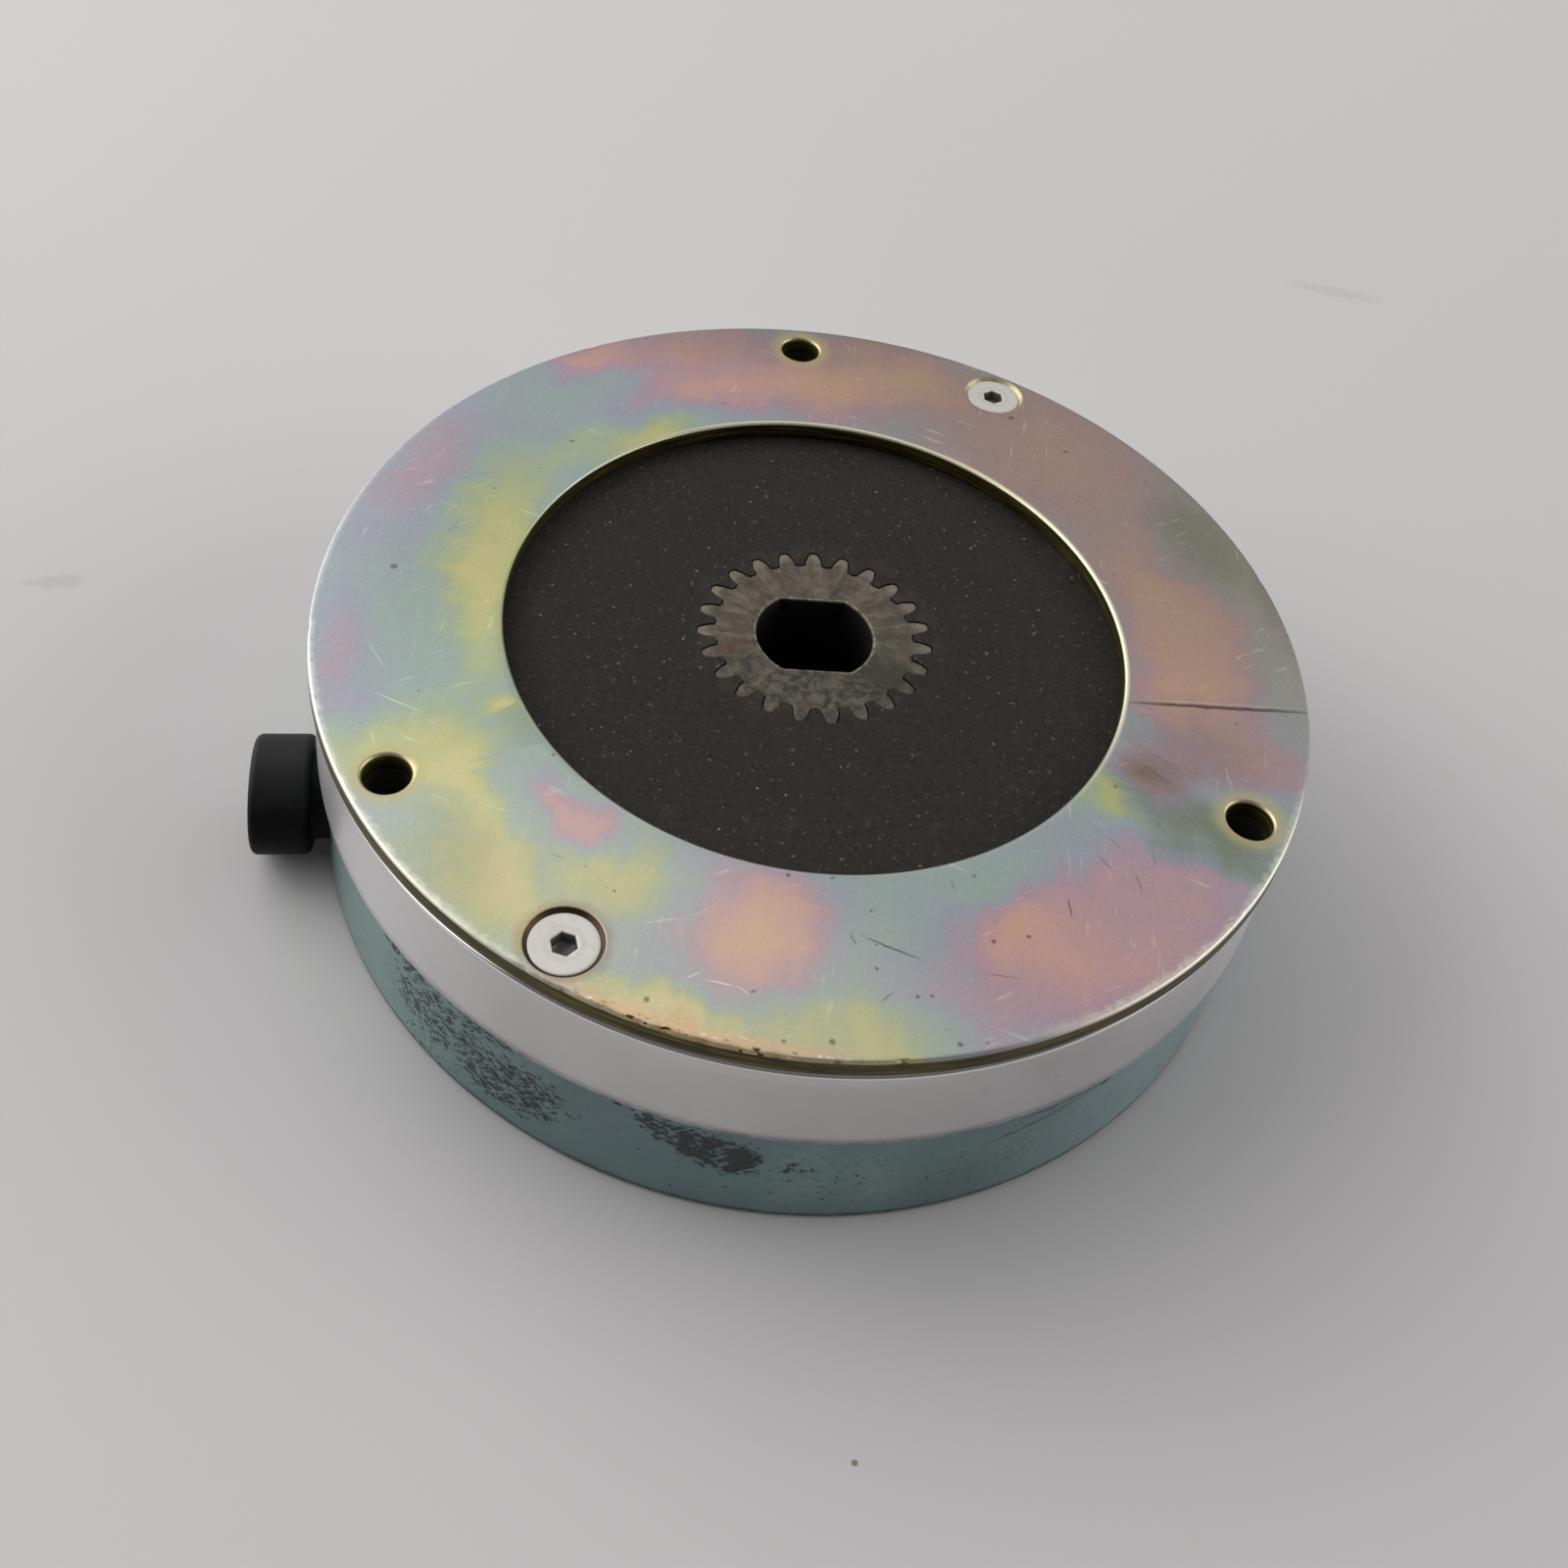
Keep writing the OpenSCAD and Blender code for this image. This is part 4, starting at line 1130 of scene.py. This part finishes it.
def make_screws():
    """Countersunk screws: one profile of rings about each screw's axis, from the middle of the hex socket's
    floor over the head and down the shank, whose radius is r - depth * wave(height / pitch - turn)."""
    turn = np.linspace(0, 2 * math.pi, 72, endpoint=False)
    hex_r = SOCKET_R / np.cos((turn + math.pi / 6) % (math.pi / 3) - math.pi / 6)
    rings = [
        (0.0, HEAD_TOP - 1.95),
        (0.6, HEAD_TOP - 1.8),
        (1.15, HEAD_TOP - 1.62),
        (hex_r, HEAD_TOP - 1.5),
        (hex_r, HEAD_TOP - 0.8),
        (hex_r, HEAD_TOP - 0.16),
        (hex_r + 0.05, HEAD_TOP - 0.05),
        (np.maximum(hex_r + 0.12, 1.5), HEAD_TOP),
        (1.75, HEAD_TOP - 0.004),
        (2.2, HEAD_TOP - 0.008),
        (2.7, HEAD_TOP - 0.004),
        (3.2, HEAD_TOP),
        (HEAD_R - 0.16, HEAD_TOP),
        (HEAD_R - 0.06, HEAD_TOP - 0.03),
        (HEAD_R, HEAD_TOP - 0.1),
        (HEAD_R, HEAD_TOP - 0.15),
        (SCREW_R + 0.1, HEAD_TOP - 1.7),
        (SCREW_R, HEAD_TOP - 1.85),
        (SCREW_R, HEAD_TOP - 4.0),
    ]
    thread_top = HEAD_TOP - 4.2
    for height in np.arange(thread_top, SCREW_END + 0.5, -THREAD_PITCH / 6):
        wave = 0.5 - 0.5 * np.cos(2 * math.pi * height / THREAD_PITCH - turn)
        fade = min(1.0, (thread_top - height) / THREAD_PITCH)
        rings.append((SCREW_R - 0.4 * fade * wave, height))
    rings.append((1.55, SCREW_END + 0.3))
    rings.append((1.3, SCREW_END))
    rings.append((0.0, SCREW_END))
    for i, (angle, socket_turn) in enumerate(zip(SCREW_ANGLES, SOCKET_TURNS), 1):
        at = np.array(polar(angle, BOLT_R, 0))
        spin = math.radians(angle + socket_turn)
        grid = np.stack([around(radius, turn + spin, height) for radius, height in rings]) + at
        sheets = [(grid, False, True)]
        make_piece(f"countersunk_screw_{i}", sheets, "stator", [f"plate_screw_{i}"], "screw_steel", 35)


def make_springs():
    """Torque springs: the circle of the wire carried along a helix, which climbs one wire a turn in its two
    dead turns and evenly between them."""
    wire = 2 * SPRING_WIRE_R
    length = SPRING_TOP - SPRING_FOOT - wire - 2 * SPRING_GAP
    turn = np.linspace(0, SPRING_TURNS, SPRING_TURNS * 20 + 1)
    height = np.interp(turn, (0, 1, SPRING_TURNS - 1, SPRING_TURNS), (0, wire, length - wire, length))
    turn, height = (np.pad(values, 1, mode="edge")[:, None] for values in (turn, height))
    side = np.linspace(0, 2 * math.pi, 10, endpoint=False)
    thick = np.full(turn.shape, SPRING_WIRE_R)
    thick[[0, -1]] = 0
    for i in range(SPRING_COUNT):
        angle = SPRING_FIRST + i * 360 / SPRING_COUNT
        foot = polar(angle, SPRING_CIRCLE_R, SPRING_FOOT)
        wind = 2 * math.pi * turn + math.radians(angle)
        rise = height + SPRING_WIRE_R + SPRING_GAP + thick * np.sin(side)
        grid = around(SPRING_R + thick * np.cos(side), wind, rise) + np.array(foot)
        sheets = [(grid, False, True)]
        nodes = [f"torque_spring_{i + 1}"]
        spring = make_piece(f"wound_spring_{i + 1}", sheets, "stator", nodes, "spring_steel", 60)
        tuple(v * MM for v in foot)
        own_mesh(spring)


# Half width of the floor in metres
FLOOR_HALF = 3.0
# Faint marks on the floor: x, y, half length and half width in millimetres, turn in degrees and amount
FLOOR_MARKS = (
    (4.0, -82.0, 0.35, 0.3, 0, 0.9),
    (-81.0, -102.0, 5.0, 1.2, -15, 0.25),
    (99.0, -105.0, 1.1, 1.0, 20, 0.5),
    (82.0, -95.0, 0.5, 0.4, 0, 0.6),
    (86.0, -96.0, 0.3, 0.3, 0, 0.6),
    (103.0, -98.0, 0.35, 0.3, 0, 0.6),
    (-100.0, 30.0, 4.0, 1.5, 10, 0.15),
    (110.0, 130.0, 9.0, 2.0, -10, 0.12),
)


def make_floor():
    """Pale sheet under the brake, with painted light falloff that darkens it to the right and in front, and a
    few specks.
    """
    m = Finish("pale_floor")
    place = m.place()
    x, y = place.axes()[:2]
    # Painted light falloff: darker to the right and in front
    painted_light_falloff = (x * 0.6 - y * 0.75 + m.noise(place, 0.004, detail=2) * 120.0).rise(-320.0, 320.0)
    colour = m.tint(painted_light_falloff, linear(216, 213, 213), linear(192, 190, 191))
    stains = m.noise(place, 0.03, detail=4, rough=0.6).rise(0.68, 0.8)
    colour = m.tint(stains * 0.25, colour, linear(176, 170, 158))
    for spot_x, spot_y, half, width, turn, amount in FLOOR_MARKS:
        local = m.mapped(place, (spot_x, spot_y, 0.0), turn, (half, width, 40.0)).length()
        local = local + (m.noise(place, 0.6, detail=3) - 0.5) * 1.2
        colour = m.tint(local.rise(1.2, 0.5) * amount, colour, linear(112, 104, 84))
    sheet = m.surface(
        Base_Color=colour,
        Roughness=0.55,
        Specular_IOR_Level=0.4,
        Normal=m.bump(m.noise(place, 0.3, detail=3), 0.0001, 0.15),
    )
    mesh = bpy.data.meshes.new("floor")
    corners = [(x * FLOOR_HALF, y * FLOOR_HALF, 0) for x, y in ((-1, -1), (1, -1), (1, 1), (-1, 1))]
    mesh.from_pydata(corners, [], [(0, 1, 2, 3)])
    mesh.materials.append(sheet)
    floor = bpy.data.objects.new("floor", mesh)
    bpy.context.scene.collection.objects.link(floor)


def toward(azimuth, elevation):
    """Direction as seen from the brake: azimuth 0 is to the far side (+Y), 90 to the right (+X)."""
    a, e = math.radians(azimuth), math.radians(elevation)
    return (math.sin(a) * math.cos(e), math.cos(a) * math.cos(e), math.sin(e))


# Even light of the room
ROOM_GLOW = 0.11
# Bright parts of the room: direction, cosines where each starts and is full, and its strength
ROOM = (
    (toward(-50, 20), 0.80, 1.0, 2.3),
    (toward(-45, 50), 0.78, 1.0, 0.95),
    (toward(5, 46), 0.80, 1.0, 0.48),
    (toward(60, 30), 0.80, 1.0, 0.62),
    (toward(-86, 26), 0.83, 0.94, 2.0),
    (toward(94, 22), 0.85, 0.95, 2.1),
    (toward(0, 90), 0.80, 1.0, 0.25),
)


def make_light():
    """Soft studio light: an even room, a little brighter overhead, with soft windows behind and beside."""
    studio = Finish("studio", studio=True)
    way = studio.node("ShaderNodeTexCoord", out="Generated")
    glow = ROOM_GLOW
    for direction, start, full, strength in ROOM:
        glow = way.along(direction).rise(start, full) * strength + glow
    light = studio.add("ShaderNodeBackground", {}, {"Color": (1.0, 0.99, 0.985, 1.0), "Strength": glow})
    studio.tree.links.new(light.outputs[0], studio.output.inputs["Surface"])
    bpy.context.scene.world = studio.material


# Camera: frame, focal length and downward shift in pixels, its turn about the brake's axis in degrees, its
# tilt and roll in radians, and the middle of the plate's top from the camera in metres
FRAME_WIDTH = 1600
FOCAL_LENGTH = 1851.14
FRAME_SHIFT = -340
SENSOR_WIDTH = 36.0
CAMERA_TURN = -7.3
CAMERA_TILT = 0.68049
CAMERA_ROLL = 0.15322
PLATE_FROM_CAMERA = (0.0039984, -0.0200545, -0.2163427)


def make_camera():
    """Camera in the place of the photograph's."""
    scene = bpy.context.scene
    data = bpy.data.cameras.new("camera")
    data.sensor_width = SENSOR_WIDTH
    data.lens = FOCAL_LENGTH / FRAME_WIDTH * SENSOR_WIDTH
    data.shift_y = FRAME_SHIFT / FRAME_WIDTH
    data.clip_start = 0.01
    turn = Matrix.Rotation(math.radians(CAMERA_TURN), 3, "Z")
    turn = turn @ Matrix.Rotation(math.pi / 2 - CAMERA_TILT, 3, "X")
    turn = turn @ Matrix.Rotation(CAMERA_ROLL, 3, "Z")
    offset = turn @ Vector(PLATE_FROM_CAMERA)
    camera = bpy.data.objects.new("camera", data)
    camera.matrix_world = Matrix.Translation(Vector((0, 0, PLATE_TOP * MM)) - offset) @ turn.to_4x4()
    scene.collection.objects.link(camera)
    scene.camera = camera


make_plate()
make_band()
make_hub()
make_screws()
make_springs()
make_floor()
make_light()
make_camera()
bpy.context.scene.view_settings.view_transform = "Standard"

bpy.context.view_layer.update()
